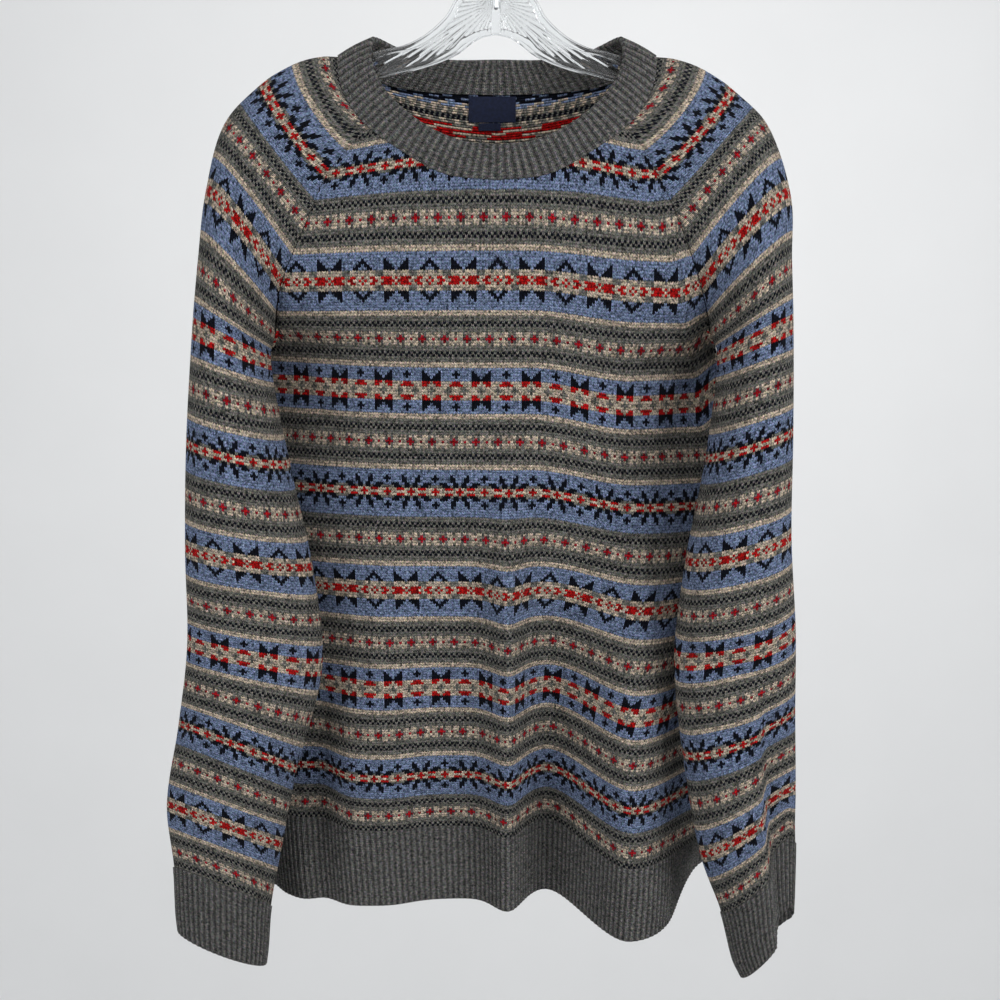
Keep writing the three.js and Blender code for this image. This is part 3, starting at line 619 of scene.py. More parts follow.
def panel_yoke(panel, across, level):
    across, level = np.broadcast_arrays(np.asarray(across, float), np.asarray(level, float))
    top = panel_top_row(panel, across)
    point = panel_course(panel, across, mix(UNDERARM_ROW, top, level))
    seam_at = NECK_SEAM_AT * np.abs(across)
    at = seam_at if panel == "front" else 1 - seam_at
    at_neck = neck_edge("sewn", np.where(across < 0, -1, 1), at)
    shift = at_neck - panel_course(panel, across, top)
    return point + shift * (level**PANEL_DRAW_IN)[..., None]


def outward(grid, closed_rows, turn):
    """Outward directions of a grid of points."""
    along = np.gradient(grid, axis=1)
    wrapped = grid[closed_rows, 1] - grid[closed_rows, -2]
    along[closed_rows, 0] = wrapped
    along[closed_rows, -1] = wrapped
    return unit(np.cross(along, np.gradient(grid, axis=0)) * turn)


def arc(points):
    """Distance along each row of a grid, from its first point."""
    steps = np.linalg.norm(np.diff(points, axis=-2), axis=-1)
    start = np.zeros(steps.shape[:-1] + (1,))
    return np.concatenate([start, np.cumsum(steps, axis=-1)], axis=-1)


def mesh_object(name, points, faces, uvs, slots, materials):
    """A smooth mesh object from points in millimetres, faces, a UV pair a corner and a slot a face."""
    used, flat = np.unique(np.concatenate(faces), return_inverse=True)
    points = points[used]
    sizes = np.array([len(face) for face in faces])
    corners = np.split(flat, np.cumsum(sizes)[:-1])
    volume = 0.0
    for size in np.unique(sizes):
        same = np.array([c for c in corners if len(c) == size])
        for k in range(1, size - 1):
            a, b, c = points[same[:, 0]], points[same[:, k]], points[same[:, k + 1]]
            volume += np.einsum("ij,ij->", a, np.cross(b, c))
    if volume < 0:
        corners = [c[::-1] for c in corners]
        uvs = [uv[::-1] for uv in uvs]
    mesh = bpy.data.meshes.new(name)
    mesh.from_pydata((points * MM).tolist(), [], [c.tolist() for c in corners])
    layer = mesh.uv_layers.new(name="Knit")
    layer.uv.foreach_set("vector", np.concatenate(uvs).astype(np.float32).ravel())
    mesh.polygons.foreach_set("material_index", np.array(slots, np.int32))
    mesh.shade_smooth()
    mesh.set_sharp_from_angle(angle=math.radians(70))
    for material in materials:
        mesh.materials.append(material)
    mesh.validate()
    piece = bpy.data.objects.new(name, mesh)
    bpy.context.collection.objects.link(piece)
    return piece


def quads(rows, columns, wrap_rows=False):
    """Corner numbers of a grid's faces, row by row."""
    i, j = np.meshgrid(
        np.arange(rows if wrap_rows else rows - 1), np.arange(columns - 1), indexing="ij"
    )
    up = (i + 1) % rows
    return np.stack(
        [i * columns + j, i * columns + j + 1, up * columns + j + 1, up * columns + j], axis=-1
    ).reshape(-1, 4)


def shell(name, outer, inner, uv, closed_rows, materials):
    """A thin closed wall from an outer and an inner grid; closed rows join their two ends."""
    rows, columns = outer.shape[:2]
    count = rows * columns
    points = np.concatenate([outer.reshape(-1, 3), inner.reshape(-1, 3)])
    number = np.arange(count).reshape(rows, columns)
    joined = number.copy()
    joined[closed_rows, -1] = joined[closed_rows, 0]
    same = np.concatenate([joined.ravel(), joined.ravel() + count])
    face = quads(rows, columns)
    bottom = np.stack(
        [number[0, :-1], number[0, 1:], number[0, 1:] + count, number[0, :-1] + count], axis=-1
    )[:, ::-1]
    top = np.stack(
        [number[-1, :-1], number[-1, 1:], number[-1, 1:] + count, number[-1, :-1] + count], axis=-1
    )
    free = [i for i in range(rows - 1) if not (closed_rows[i] and closed_rows[i + 1])]
    sides = []
    for column, turn in ((0, 1), (columns - 1, -1)):
        a = number[free, column]
        b = number[[i + 1 for i in free], column]
        sides.append(np.stack([a, a + count, b + count, b], axis=-1)[:, ::turn])
    corners = np.concatenate([face, face[:, ::-1] + count, bottom, top, *sides])
    slots = np.zeros(len(corners), int)
    slots[len(face) : 2 * len(face)] = 1
    uv = np.concatenate([uv.reshape(-1, 2), uv.reshape(-1, 2)])
    keep = [len(set(same[c])) > 3 for c in corners]
    corners, slots = corners[keep], slots[keep]
    return mesh_object(name, points, list(same[corners]), list(uv[corners]), slots, materials)


def loop_band(name, grid, uv, closed, materials):
    """A solid band from a grid whose rows run round its section; its ends join or are capped."""
    rows, columns = grid.shape[:2]
    number = np.arange(rows * columns).reshape(rows, columns)
    joined = number.copy()
    if closed:
        joined[:, -1] = joined[:, 0]
    same = joined.ravel()
    corners = list(quads(rows, columns, wrap_rows=True))
    if not closed:
        corners.append(number[::-1, 0])
        corners.append(number[:, -1])
    flat_uv = uv.reshape(-1, 2)
    faces = [same[c] for c in corners]
    uvs = [flat_uv[c] for c in corners]
    return mesh_object(name, grid.reshape(-1, 3), faces, uvs, np.zeros(len(faces), int), materials)


def dressed(piece, *nodes, slot):
    """Hangs a finished piece under the root body and hides the solids that it stands for."""
    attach(piece, "root")
    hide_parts(*nodes)
    return piece


class Nodes:
    """Adds and joins the shader nodes of one material."""

    def __init__(self, name):
        self.material = bpy.data.materials.new(name)
        self.material.use_nodes = True
        self.tree = self.material.node_tree
        self.surface = self.tree.nodes["Principled BSDF"]

    def add(self, kind, inputs=(), **settings):
        node = self.tree.nodes.new(kind)
        for key, value in settings.items():
            setattr(node, key, value)
        for key, value in dict(inputs).items():
            self.join(node.inputs[key], value)
        return node

    def join(self, socket, value):
        if isinstance(value, bpy.types.NodeSocket):
            self.tree.links.new(value, socket)
        else:
            socket.default_value = value

    def math(self, operation, *values):
        node = self.add("ShaderNodeMath", enumerate(values), operation=operation)
        return node.outputs[0]

    def mix(self, factor, a, b, blend="MIX"):
        node = self.add("ShaderNodeMix", data_type="RGBA", blend_type=blend)
        self.join(node.inputs[0], factor)
        self.join(node.inputs[6], a)
        self.join(node.inputs[7], b)
        return node.outputs[2]

    def ramp(self, factor, stops, interpolation="CONSTANT"):
        node = self.add("ShaderNodeValToRGB", {"Fac": factor})
        ramp = node.color_ramp
        ramp.interpolation = interpolation
        ramp.elements[0].position = stops[0][0]
        ramp.elements[0].color = stops[0][1]
        ramp.elements[1].position = stops[1][0] if len(stops) > 1 else 1.0
        ramp.elements[1].color = stops[1][1] if len(stops) > 1 else stops[0][1]
        for place, colour in stops[2:]:
            ramp.elements.new(place).color = colour
        return node.outputs["Color"]

    def bump(self, height, distance, strength):
        bump = self.add("ShaderNodeBump", {"Strength": strength, "Distance": distance, "Height": height})
        self.join(self.surface.inputs["Normal"], bump.outputs["Normal"])

    def surface_values(self, **values):
        for name, value in values.items():
            self.join(self.surface.inputs[name.replace("_", " ")], value)


def rgba(colour):
    return (*colour, 1.0)


def yarn_colours(knit):
    return {letter: rgba(getattr(knit, name)) for letter, name in YARNS.items()}


def within_pattern(n, course):
    """A course counted from the start of its own repeat of the pattern."""
    part = n.math("FRACT", n.math("DIVIDE", n.math("ADD", course, 0.5), PATTERN_COURSES))
    return n.math("FLOOR", n.math("MULTIPLY", part, PATTERN_COURSES))


def from_small_middle(n, course):
    """How many courses it is to the nearest line of small diamonds, and that line's shift."""
    nearest, shift = 1000.0, 0.0
    for middle, line_shift in PEERIES:
        away = n.math("ABSOLUTE", n.math("SUBTRACT", course, middle))
        nearest = n.math("MINIMUM", nearest, away)
        here = n.math("LESS_THAN", away, PEERIE_REACH)
        shift = n.math("MULTIPLY_ADD", here, float(line_shift), shift)
    return nearest, shift


def inside_band(n, from_middle, band):
    first, last = band["courses"]
    return n.math("COMPARE", from_middle, (first + last) / 2, (last - first + 1) / 2)


def chart_colour(n, knit, stitch, course):
    """The yarn colour of a stitch and a course, from the charts."""
    yarn = yarn_colours(knit)
    course = within_pattern(n, course)

    def chart_row(letters, repeat, shift):
        mirrored = n.math("WRAP", n.math("SUBTRACT", stitch, shift), repeat / 2, -repeat / 2)
        place = n.math("DIVIDE", n.math("ADD", n.math("ABSOLUTE", mirrored), 0.5), len(letters))
        stops = [(0.0, yarn[letters[0]])]
        for i in range(1, len(letters)):
            if letters[i] != letters[i - 1]:
                stops.append((i / len(letters), yarn[letters[i]]))
        return n.ramp(place, stops)

    colour = yarn["g"]
    # Small diamonds between two checked lines
    nearest, shift = from_small_middle(n, course)
    for i, letters in enumerate(PEERIE_ROWS):
        here = n.math("COMPARE", nearest, i, 0.4)
        colour = n.mix(here, colour, chart_row(letters, PEERIE_REPEAT, shift))
    checked = n.math("COMPARE", nearest, sum(CHECK_COURSES) / 2, 0.9)
    odd = n.math("FLOORED_MODULO", n.math("ADD", stitch, course), 2)
    colour = n.mix(n.math("MULTIPLY", checked, n.math("COMPARE", odd, 0, 0.4)), colour, yarn["n"])
    # The three large bands
    for band in BANDS:
        first, last = band["courses"]
        from_middle = n.math("SUBTRACT", course, band["middle"])
        span = last - first + 1
        place = n.math("DIVIDE", n.math("SUBTRACT", from_middle, first - 0.5), span)
        ground = [((start - first) / span, yarn[letter]) for start, letter in band["ground"]]
        band_colour = n.ramp(place, ground)
        away = n.math("ABSOLUTE", from_middle)
        for i, letters in enumerate(band["rows"]):
            here = n.math("COMPARE", away, i, 0.4)
            band_colour = n.mix(here, band_colour, chart_row(letters, band["repeat"], band["shift"]))
        colour = n.mix(inside_band(n, from_middle, band), colour, band_colour)
    return colour


def float_colour(n, knit, across, course):
    """The yarn colour on the wrong side, where floats cross behind the motifs."""
    yarn = yarn_colours(knit)
    jog = n.add("ShaderNodeTexWhiteNoise", {"W": course}, noise_dimensions="1D").outputs["Value"]
    course = within_pattern(n, course)

    def floats(away, rows):
        colour = yarn["g"]
        for row in rows:
            part = dict(zip(FLOAT_COLUMNS, row))
            along = n.math("DIVIDE", n.math("MULTIPLY_ADD", jog, part["every"], across), part["every"])
            gap = n.math("COMPARE", n.math("FRACT", along), 0.5, part["share"] / 2)
            both = n.mix(gap, yarn[part["float"]], yarn[part["between"]])
            colour = n.mix(n.math("GREATER_THAN", away, part["from_middle"] - 0.5), colour, both)
        return colour

    colour = floats(from_small_middle(n, course)[0], SMALL_FLOATS)
    for band in BANDS:
        from_middle = n.math("SUBTRACT", course, band["middle"])
        large = floats(n.math("ABSOLUTE", from_middle), LARGE_FLOATS)
        colour = n.mix(inside_band(n, from_middle, band), colour, large)
    return colour


def shaded(n, colour, light):
    """A colour made lighter or darker by a value: heather tones of the yarn, and painted shade on the
    stitches.
    """
    grey = n.add("ShaderNodeCombineColor", {"Red": light, "Green": light, "Blue": light})
    return n.mix(1.0, colour, grey.outputs[0], "MULTIPLY")


# How far the flecks in a yarn and the shades of whole stitches reach from light to dark
FLECK_SPREAD = 3.6
STITCH_SPREAD = 0.84


def heathered(n, knit, colour, uv, cell, amount):
    """Mixed fibres: a shade for each stitch, and light, dark and tinted flecks along the yarn."""
    shade = n.add("ShaderNodeTexWhiteNoise", {"Vector": cell}, noise_dimensions="2D").outputs["Value"]
    fibres = n.add(
        "ShaderNodeTexNoise",
        {"Vector": uv, "Scale": knit.fibre_scale, "Detail": 2.0, "Roughness": 0.75},
        noise_dimensions="2D",
    )
    flecks = n.math("SUBTRACT", fibres.outputs[0], 0.5)
    spread = n.math("MULTIPLY_ADD", flecks, FLECK_SPREAD, -STITCH_SPREAD / 2)
    spread = n.math("MULTIPLY_ADD", shade, STITCH_SPREAD, spread)
    value = n.math("MAXIMUM", n.math("MULTIPLY_ADD", spread, amount, 1.0), 0.2)
    tinted = n.mix(knit.tint, colour, fibres.outputs["Color"], "SOFT_LIGHT")
    return shaded(n, tinted, value)


def knit_uv(n):
    uv = n.add("ShaderNodeUVMap", uv_map="Knit").outputs["UV"]
    parts = n.add("ShaderNodeSeparateXYZ", {"Vector": uv})
    return uv, parts.outputs["X"], parts.outputs["Y"]


def stitches(n, knit, across, up):
    """V-shaped stitches: each one's number, its course, and the height of its two strands."""
    stitch = n.math("FLOOR", across)
    aside = n.math("ABSOLUTE", n.math("SUBTRACT", n.math("FRACT", across), 0.5))
    leg = n.math("MULTIPLY", aside, 2.0)
    bent = n.math("SUBTRACT", up, n.math("MULTIPLY", n.math("SUBTRACT", leg, 0.5), knit.vee))
    strand = n.math("SINE", n.math("MULTIPLY", leg, math.pi))
    loop = n.math("SINE", n.math("MULTIPLY", n.math("FRACT", bent), math.pi))
    height = n.math("MULTIPLY", n.math("ADD", strand, 0.35), n.math("ADD", loop, 0.5))
    return stitch, n.math("FLOOR", bent), height


def woolly(n, knit, height):
    """Dull, softly lit wool with its strands raised."""
    n.surface_values(Roughness=0.95, Specular_IOR_Level=0.05)
    n.surface_values(Sheen_Weight=knit.fuzz, Sheen_Roughness=0.6)
    n.bump(height, knit.relief, 0.8)


def knit_face(knit):
    """The right side of the patterned knit: coloured stitches, each a small V."""
    n = Nodes("patterned knit")
    uv, across, up = knit_uv(n)
    stitch, course, height = stitches(n, knit, n.math("ADD", across, 0.5), up)
    colour = chart_colour(n, knit, stitch, course)
    cell = n.add("ShaderNodeCombineXYZ", {"X": stitch, "Y": course}).outputs[0]
    colour = heathered(n, knit, colour, uv, cell, knit.heather)
    # Painted shade: the base colour is darker where the strands dip and lighter on their raised middles
    n.surface_values(Base_Color=shaded(n, colour, n.math("MULTIPLY_ADD", height, 0.55, 0.4)))
    woolly(n, knit, height)
    return n.material


def knit_back(knit):
    """The wrong side: floats that run across the stitches."""
    n = Nodes("patterned knit wrong side")
    uv, across, up = knit_uv(n)
    course = n.math("FLOOR", up)
    colour = float_colour(n, knit, across, course)
    cell = n.add("ShaderNodeCombineXYZ", {"X": n.math("FLOOR", across), "Y": course}).outputs[0]
    colour = heathered(n, knit, colour, uv, cell, knit.heather)
    bar = n.math("SINE", n.math("MULTIPLY", n.math("FRACT", up), math.pi))
    lump = n.math("SINE", n.math("MULTIPLY", n.math("FRACT", across), math.pi))
    height = n.math("ADD", n.math("MULTIPLY", bar, 1.2), n.math("MULTIPLY", lump, 0.2))
    # Painted shade: the base colour is darker at the edges of each float and stitch and lighter on their
    # raised middles
    n.surface_values(Base_Color=shaded(n, colour, n.math("MULTIPLY_ADD", height, 0.36, 0.66)))
    woolly(n, knit, height)
    return n.material


def rib_material(knit, rib):
    """Grey heather ribbing: knit columns on the raised ribs, shade in the furrows."""
    n = Nodes("grey heather rib")
    uv, across, up = knit_uv(n)
    stitch, course, height = stitches(n, knit, across, up)
    cell = n.add("ShaderNodeCombineXYZ", {"X": stitch, "Y": course}).outputs[0]
    colour = heathered(n, knit, rgba(rib.colour), uv, cell, knit.heather * 0.7)
    # A rib is two stitches wide, and a furrow lies at each even stitch edge
    furrow = n.math("COSINE", n.math("MULTIPLY", across, math.pi))
    # Painted shade: the base colour is lighter on the raised strands and darker where they dip and in
    # the furrows
    light = n.math("MULTIPLY_ADD", height, 0.16, 0.8)
    deep = n.math("SUBTRACT", 1.0, n.math("MULTIPLY", furrow, rib.furrow_shade))
    n.surface_values(Base_Color=shaded(n, colour, n.math("MULTIPLY", light, deep)))
    woolly(n, knit, height)
    return n.material


def shared(key, build):
    """A material that several pieces use, made once."""
    if key not in bpy.data.materials:
        build()
    return bpy.data.materials[key]


def knit_materials(scene):
    knit = scene.jumper_knit
    return [
        shared("patterned knit", lambda: knit_face(knit)),
        shared("patterned knit wrong side", lambda: knit_back(knit)),
    ]


def rib_materials(scene):
    return [shared("grey heather rib", lambda: rib_material(scene.jumper_knit, scene.jumper_rib))]


SEAM_NEAR = 0.006


def seam_press(distance):
    """How far the cloth is drawn in beside a seam."""
    return 0.9 * np.exp(-((distance / 1.8) ** 2))


def with_seam_edges(places, low, high, near):
    """Places across a piece, with a few more close to its two seams."""
    extra = [low + near, low + 2.2 * near, high - 2.2 * near, high - near]
    return np.sort(np.concatenate([places, extra]))


def build_panel(scene, panel):
    knit = scene.jumper_knit
    across = with_seam_edges(np.linspace(-1, 1, 165), -1, 1, SEAM_NEAR)
    rows = np.linspace(0, UNDERARM_ROW, 92)
    levels = np.linspace(0, 1, 48)[1:]
    lower = panel_course(panel, across[None], rows[:, None])
    yoke = panel_yoke(panel, across[None], levels[:, None])
    points = np.concatenate([lower, yoke])
    top_rows = mix(UNDERARM_ROW, panel_top_row(panel, across[None]), levels[:, None])
    courses = np.concatenate([np.broadcast_to(rows[:, None], lower.shape[:2]), top_rows])
    if panel == "back":
        # The last courses lie closer together under the neck rib
        courses[len(rows) :] += BACK_NECK_EXTRA_COURSES * levels[:, None] ** 2
    none_closed = np.zeros(len(points), bool)
    normals = outward(points, none_closed, 1 if panel == "front" else -1)
    run = arc(points)
    middle = len(across) // 2
    from_middle = run - run[:, middle : middle + 1]
    if panel == "front":
        from_middle = from_middle - (FRONT_MIDDLE_X - points[:, middle : middle + 1, 0])
    edge = np.minimum(run, run[:, -1:] - run)
    press = seam_press(edge)
    press[: len(rows)] *= 0.6
    outer = points - normals * press[..., None]
    inner = points - normals * (knit.wall / MM)
    uv = np.stack([from_middle / (knit.stitch / MM), courses], axis=-1)
    piece = shell(f"{panel}_panel", outer, inner, uv, none_closed, knit_materials(scene))
    dressed(piece, panel, slot="patterned_knit")


def build_sleeve(scene, side):
    knit = scene.jumper_knit
    around = with_seam_edges(np.linspace(0, 1, 97), 0, 1, SEAM_NEAR)
    underarm = UNDERARM_ROW + SLEEVE_AHEAD
    rows = np.linspace(0, underarm, 130)
    levels = np.linspace(0, 1, 44)[1:]
    lower = sleeve_ring(side, around[None], rows[:, None])
    yoke = sleeve_yoke(side, around[None], levels[:, None])
    points = np.concatenate([lower, yoke])
    top_rows = mix(underarm, sleeve_top_row(around[None]), levels[:, None])
    courses = np.concatenate([np.broadcast_to(rows[:, None], lower.shape[:2]), top_rows])
    closed = np.arange(len(points)) < len(rows)
    sign = -1 if side == "left" else 1
    normals = outward(points, closed, sign)
    run = arc(points)
    middle = len(around) // 2
    from_middle = run - run[:, middle : middle + 1]
    press = seam_press(np.minimum(run, run[:, -1:] - run))
    press[: len(rows)] *= 0.4
    points[len(rows) - 1, [0, -1], 0] += sign * UNDERARM_GAP
    outer = points - normals * press[..., None]
    inner = points - normals * (knit.wall / MM)
    uv = np.stack([from_middle / (knit.stitch / MM), courses - SLEEVE_AHEAD], axis=-1)
    piece = shell(f"{side}_sleeve", outer, inner, uv, closed, knit_materials(scene))
    dressed(piece, f"sleeve_{side}", slot="patterned_knit")


# A rib's free edge is rounded through these turns, from its outside to its inside
EDGE_TURNS = np.radians([30, 60, 90, 120, 150])
STEPS_A_RIB = 8


def ribbing(name, scene, surface, pitch, thickness, heights, closed, turn, bulge=0.0):
    """A ribbed band on a plain surface(at, t): ribs outside and inside, and a rounded free edge."""
    rib = scene.jumper_rib
    relief = (rib.neck_relief if name == "neck_rib" else rib.relief) / MM
    fine = np.linspace(0, 1, 1200)
    run = arc(surface(fine[None], np.full((1, 1), 0.6)))[0]
    ribs = max(4, round(run[-1] / pitch))
    columns = ribs * STEPS_A_RIB + 1
    at = np.interp(np.linspace(0, run[-1], columns), run, fine)
    t = np.linspace(0, 1, heights)
    face = surface(at[None], t[:, None])
    closed_rows = np.full(len(t), closed)
    normal = outward(face, closed_rows, turn)
    face = face + normal * (bulge * np.sin(np.pi * t))[:, None, None]
    phase = np.arange(columns) / STEPS_A_RIB
    ridge = (0.5 + 0.5 * np.cos(2 * np.pi * (phase + 0.5))) ** 0.8 * relief
    furrow = (0.5 + 0.5 * np.cos(2 * np.pi * phase)) ** 0.8 * relief
    outside = face + normal * ridge[None, :, None]
    inside = face - normal * (thickness + furrow[None, :, None])
    rise = unit(face[-1] - face[-2])
    tip = []
    half = thickness / 2
    for angle in EDGE_TURNS:
        out = np.cos(angle) * (half + np.where(angle < np.pi / 2, ridge, furrow) * abs(np.cos(angle)))
        tip.append(face[-1] + normal[-1] * (out - half)[:, None] + rise * half * np.sin(angle))
    grid = np.concatenate([outside, np.array(tip), inside[::-1]])
    tall = arc(face.transpose(1, 0, 2)).T
    over = tall[-1] + half * EDGE_TURNS[:, None]
    heights_mm = np.concatenate([tall, over, over[-1] + tall[-1] - tall[::-1]])
    u = np.broadcast_to(2 * phase, heights_mm.shape)
    uv = np.stack([u, heights_mm / COURSE_HEIGHT], axis=-1)
    return loop_band(name, grid, uv, closed, rib_materials(scene))


def neck_surface(at, t):
    place = 4 * np.asarray(at, float)
    side = np.where(place <= 2, -1, 1)
    along = np.where(place <= 2, place, 4 - place) / 2
    sewn = neck_edge("sewn", side, along)
    free = neck_edge("free", side, along)
    return mix(sewn, free, np.asarray(t, float)[..., None])


def build_neckband(scene):
    rib = scene.jumper_rib
    piece = ribbing(
        "neck_rib", scene, neck_surface, rib.neck_pitch / MM, rib.neck_thickness / MM, 12, True, -1, 0.8
    )
    dressed(piece, "neckband", slot="ribbed_knit")


def build_hem(scene, panel):
    rib = scene.jumper_rib

    def surface(at, t):
        return panel_course(panel, 2 * at - 1, HEM_ROW * t)

    # Rows run downwards here, so the turn is the panel's own with its sign changed
    turn = PANELS[panel]["face"]
    piece = ribbing(
        f"{panel}_hem_rib", scene, surface, rib.pitch / MM, rib.thickness / MM, 18, False, turn
    )
    dressed(piece, f"hem_rib_{panel}", slot="ribbed_knit")


def build_cuff(scene, side):
    rib = scene.jumper_rib

    def surface(at, t):
        return sleeve_ring(side, at, CUFF_ROW * t)

    turn = 1 if side == "left" else -1
    piece = ribbing(
        f"{side}_cuff", scene, surface, rib.pitch / MM, rib.thickness / MM, 20, True, turn
    )
    dressed(piece, f"cuff_{side}", slot="ribbed_knit")


# About the back's half width and the height of its yoke, as steps towards a place on it
BACK_HALF_WIDTH = 180
BACK_YOKE_HEIGHT = 200


def inside_back(x, z):
    """Points on the back's inner face at given x and z, and the way into the garment there."""
    across = np.zeros_like(x)
    level = np.ones_like(x)
    for _ in range(30):
        point = panel_yoke("back", across, level)
        across = across + (x - point[..., 0]) / BACK_HALF_WIDTH
        level = level + (z - point[..., 2]) / BACK_YOKE_HEIGHT
    step = 0.02
    along = panel_yoke("back", across + step, level) - panel_yoke("back", across - step, level)
    up = panel_yoke("back", across, level + step) - panel_yoke("back", across, level - step)
    inward = unit(np.cross(along, up))
    return panel_yoke("back", across, level) + inward * 2, inward


LABELS = {
    "woven_label": {"node": "neck_label", "left": -23, "right": 15, "drop": 1, "height": 20},
    "woven_size_tab": {"node": "size_tab", "left": -15, "right": 3, "drop": 21.6, "height": 6},
}


def label_material(label):
    """A navy damask weave, bare."""
    n = Nodes("navy woven label")
    uv, across, up = knit_uv(n)
    warp = n.math("SINE", n.math("MULTIPLY", across, 2 * math.pi))
    weft = n.math("SINE", n.math("MULTIPLY", up, 2 * math.pi))
    twill = n.math("SINE", n.math("MULTIPLY", n.math("ADD", across, up), math.pi))
    weave = n.math("ADD", n.math("MULTIPLY", warp, weft), twill)
    cloud = n.add("ShaderNodeTexNoise", {"Vector": uv, "Scale": 0.12}, noise_dimensions="2D").outputs[0]
    fac = n.math("ADD", n.math("MULTIPLY", weave, 0.14), n.math("MULTIPLY", cloud, 0.9))
    dark = rgba([c * 0.7 for c in label.colour])
    bright = rgba([c * 1.6 for c in label.colour])
    colour = n.ramp(fac, [(0.25, dark), (0.75, bright)], "LINEAR")
    n.surface_values(Base_Color=colour, Roughness=0.6, Specular_IOR_Level=0.2, Sheen_Weight=0.03)
    n.bump(weave, 0.00015, 0.5)
    return n.material


def build_label(scene, name):
    label = scene.jumper_label
    size = LABELS[name]
    top = NECK["sewn_z"][-1] - size["drop"]
    x = np.linspace(size["left"], size["right"], 41)[None]
    z = np.linspace(top - size["height"], top, 25)[:, None]
    x, z = np.broadcast_arrays(x, z)
    base, inward = inside_back(x, z)
    u = (x - size["left"]) / (size["right"] - size["left"])
    v = (z - z.min()) / size["height"]
    # Sewn down along its two ends, with a folded top edge and a slack middle
    slack = label.slack / MM * np.sin(np.pi * u) ** 0.7 * (0.4 + 0.6 * np.sin(np.pi * v))
    fold = 0.25 * np.exp(-(((1 - v) * size["height"] / 1.2) ** 2))
    thickness = label.thickness / MM
    out = base + inward * (0.5 + thickness + slack + fold)[..., None]
    back = base + inward * (0.5 + slack)[..., None]
    threads = np.stack([x / label.thread * MM, z / label.thread * MM], axis=-1)
    none_closed = np.zeros(x.shape[0], bool)
    material = shared("navy woven label", lambda: label_material(label))
    piece = shell(name, out, back, threads, none_closed, [material, material])
    return dressed(piece, size["node"], slot="woven_label")


def turned(points, degrees):
    """Points turned about the origin, the right-hand side down."""
    angle = math.radians(degrees)
    x = points[..., 0] * math.cos(angle) + points[..., 2] * math.sin(angle)
    z = -points[..., 0] * math.sin(angle) + points[..., 2] * math.cos(angle)
    return xyz(x, points[..., 1], z)


def flute_ridge(n, turn, shift):
    """A narrow ridge along each flute."""
    aside = n.math("ABSOLUTE", n.math("SUBTRACT", n.math("FRACT", n.math("ADD", turn, shift)), 0.5))
    return n.math("MAXIMUM", n.math("MULTIPLY_ADD", aside, -5.0, 1.0), 0.0)


def plastic_material(hanger):
    n = Nodes("clear hanger plastic")
    place = n.add("ShaderNodeTexCoord").outputs["Object"]
    haze = n.add("ShaderNodeTexNoise", {"Vector": place, "Scale": 55.0, "Detail": 2.0}).outputs[0]
    rough = n.add(
        "ShaderNodeMapRange",
        {"Value": haze, "From Min": 0.35, "From Max": 0.8, "To Min": 0.03, "To Max": 0.12},
    )
    n.surface_values(Base_Color=rgba(hanger.tint), Roughness=rough.outputs[0], IOR=1.5)
    n.surface_values(Transmission_Weight=1.0)
    # Sharp ridges along the flutes, with one more between them where they stand far apart
    turn, depth = knit_uv(n)[1:]
    ridges = n.math("MULTIPLY", flute_ridge(n, turn, 0.0), n.math("MINIMUM", depth, 1.0))
    between = n.math("MAXIMUM", n.math("SUBTRACT", depth, 1.0), 0.0)
    ridges = n.math("MULTIPLY_ADD", flute_ridge(n, turn, 0.5), between, ridges)
    n.bump(n.math("MULTIPLY_ADD", haze, 0.1, ridges), hanger.ridge, 1.0)
    return n.material


def hanger_edge(edge):
    """A smooth line through one edge of the hanger's right half, from the middle outwards."""
    number = np.arange(len(edge["x"]))
    at = np.linspace(0, number[-1], HANGER_COLUMNS)
    x, z = (smooth({"number": number, "value": edge[axis]}, "value", at) for axis in "xz")
    return xyz(x, 0, z)


def hanger_thickness(hanger, grid, from_edge):
    """Half the plate's thickness: rims, a thin web with flutes that fan out, a post and two notches."""
    half = hanger.thickness / MM / 2
    web = hanger.web / MM / 2
    rim = hanger.rim / MM
    x, z = np.abs(grid[..., 0]), grid[..., 2]
    out = np.hypot(x, z - FAN_CENTRE_Z)
    turn = np.arctan2(z - FAN_CENTRE_Z, x + 0.01) * hanger.flutes / np.pi
    flute = np.abs((turn % 1.0) - 0.5) * 2
    fine = np.abs(((turn * 2 + 0.5) % 1.0) - 0.5) * 2 * ease((out - FINE_FLUTES_FROM) / 12)
    deep = (half - web - 1.5) * ease((out - 5) / 8) * (0.75 * flute + 0.25 * fine)
    hollow = ease((from_edge - rim) / 0.8)
    groove = 0.6 * np.exp(-(((from_edge - rim * 0.5) / 0.45) ** 2))
    solid_tip = ease((x - HANGER_TIP_X) / 8)
    thick = mix(half - groove, web + deep, hollow * (1 - solid_tip))
    post = ease((POST_HALF_WIDTH - x) / 0.9) * ease((z - POST_BOTTOM_Z) / 1.5)
    thick = mix(thick, half + 0.7, post)
    notch = np.hypot(x - STRAP_NOTCH[0], z - STRAP_NOTCH[1])
    thick = np.maximum(thick, half * np.exp(-(((notch - STRAP_NOTCH_RADIUS) / 0.9) ** 2)))
    edge = np.clip(from_edge / 1.3, 0, 1)
    return thick * (0.3 + 0.7 * np.sqrt(1 - (1 - edge) ** 2))


def flute_places(hanger, grid, from_edge):
    """Each point's place among the flutes, and their depth there: 0 on rims and post, up to 2."""
    x, z = np.abs(grid[..., 0]), grid[..., 2]
    turn = np.arctan2(z - FAN_CENTRE_Z, x + 0.01) * hanger.flutes / np.pi
    out = np.hypot(x, z - FAN_CENTRE_Z)
    web = ease((from_edge - hanger.rim / MM) / 0.8)
    web = web * ease((x - POST_HALF_WIDTH) / 0.9) * ease((HANGER_TIP_X - x) / 8)
    return np.stack([turn, web * (1 + ease((out - FINE_FLUTES_FROM) / 12))], axis=-1)


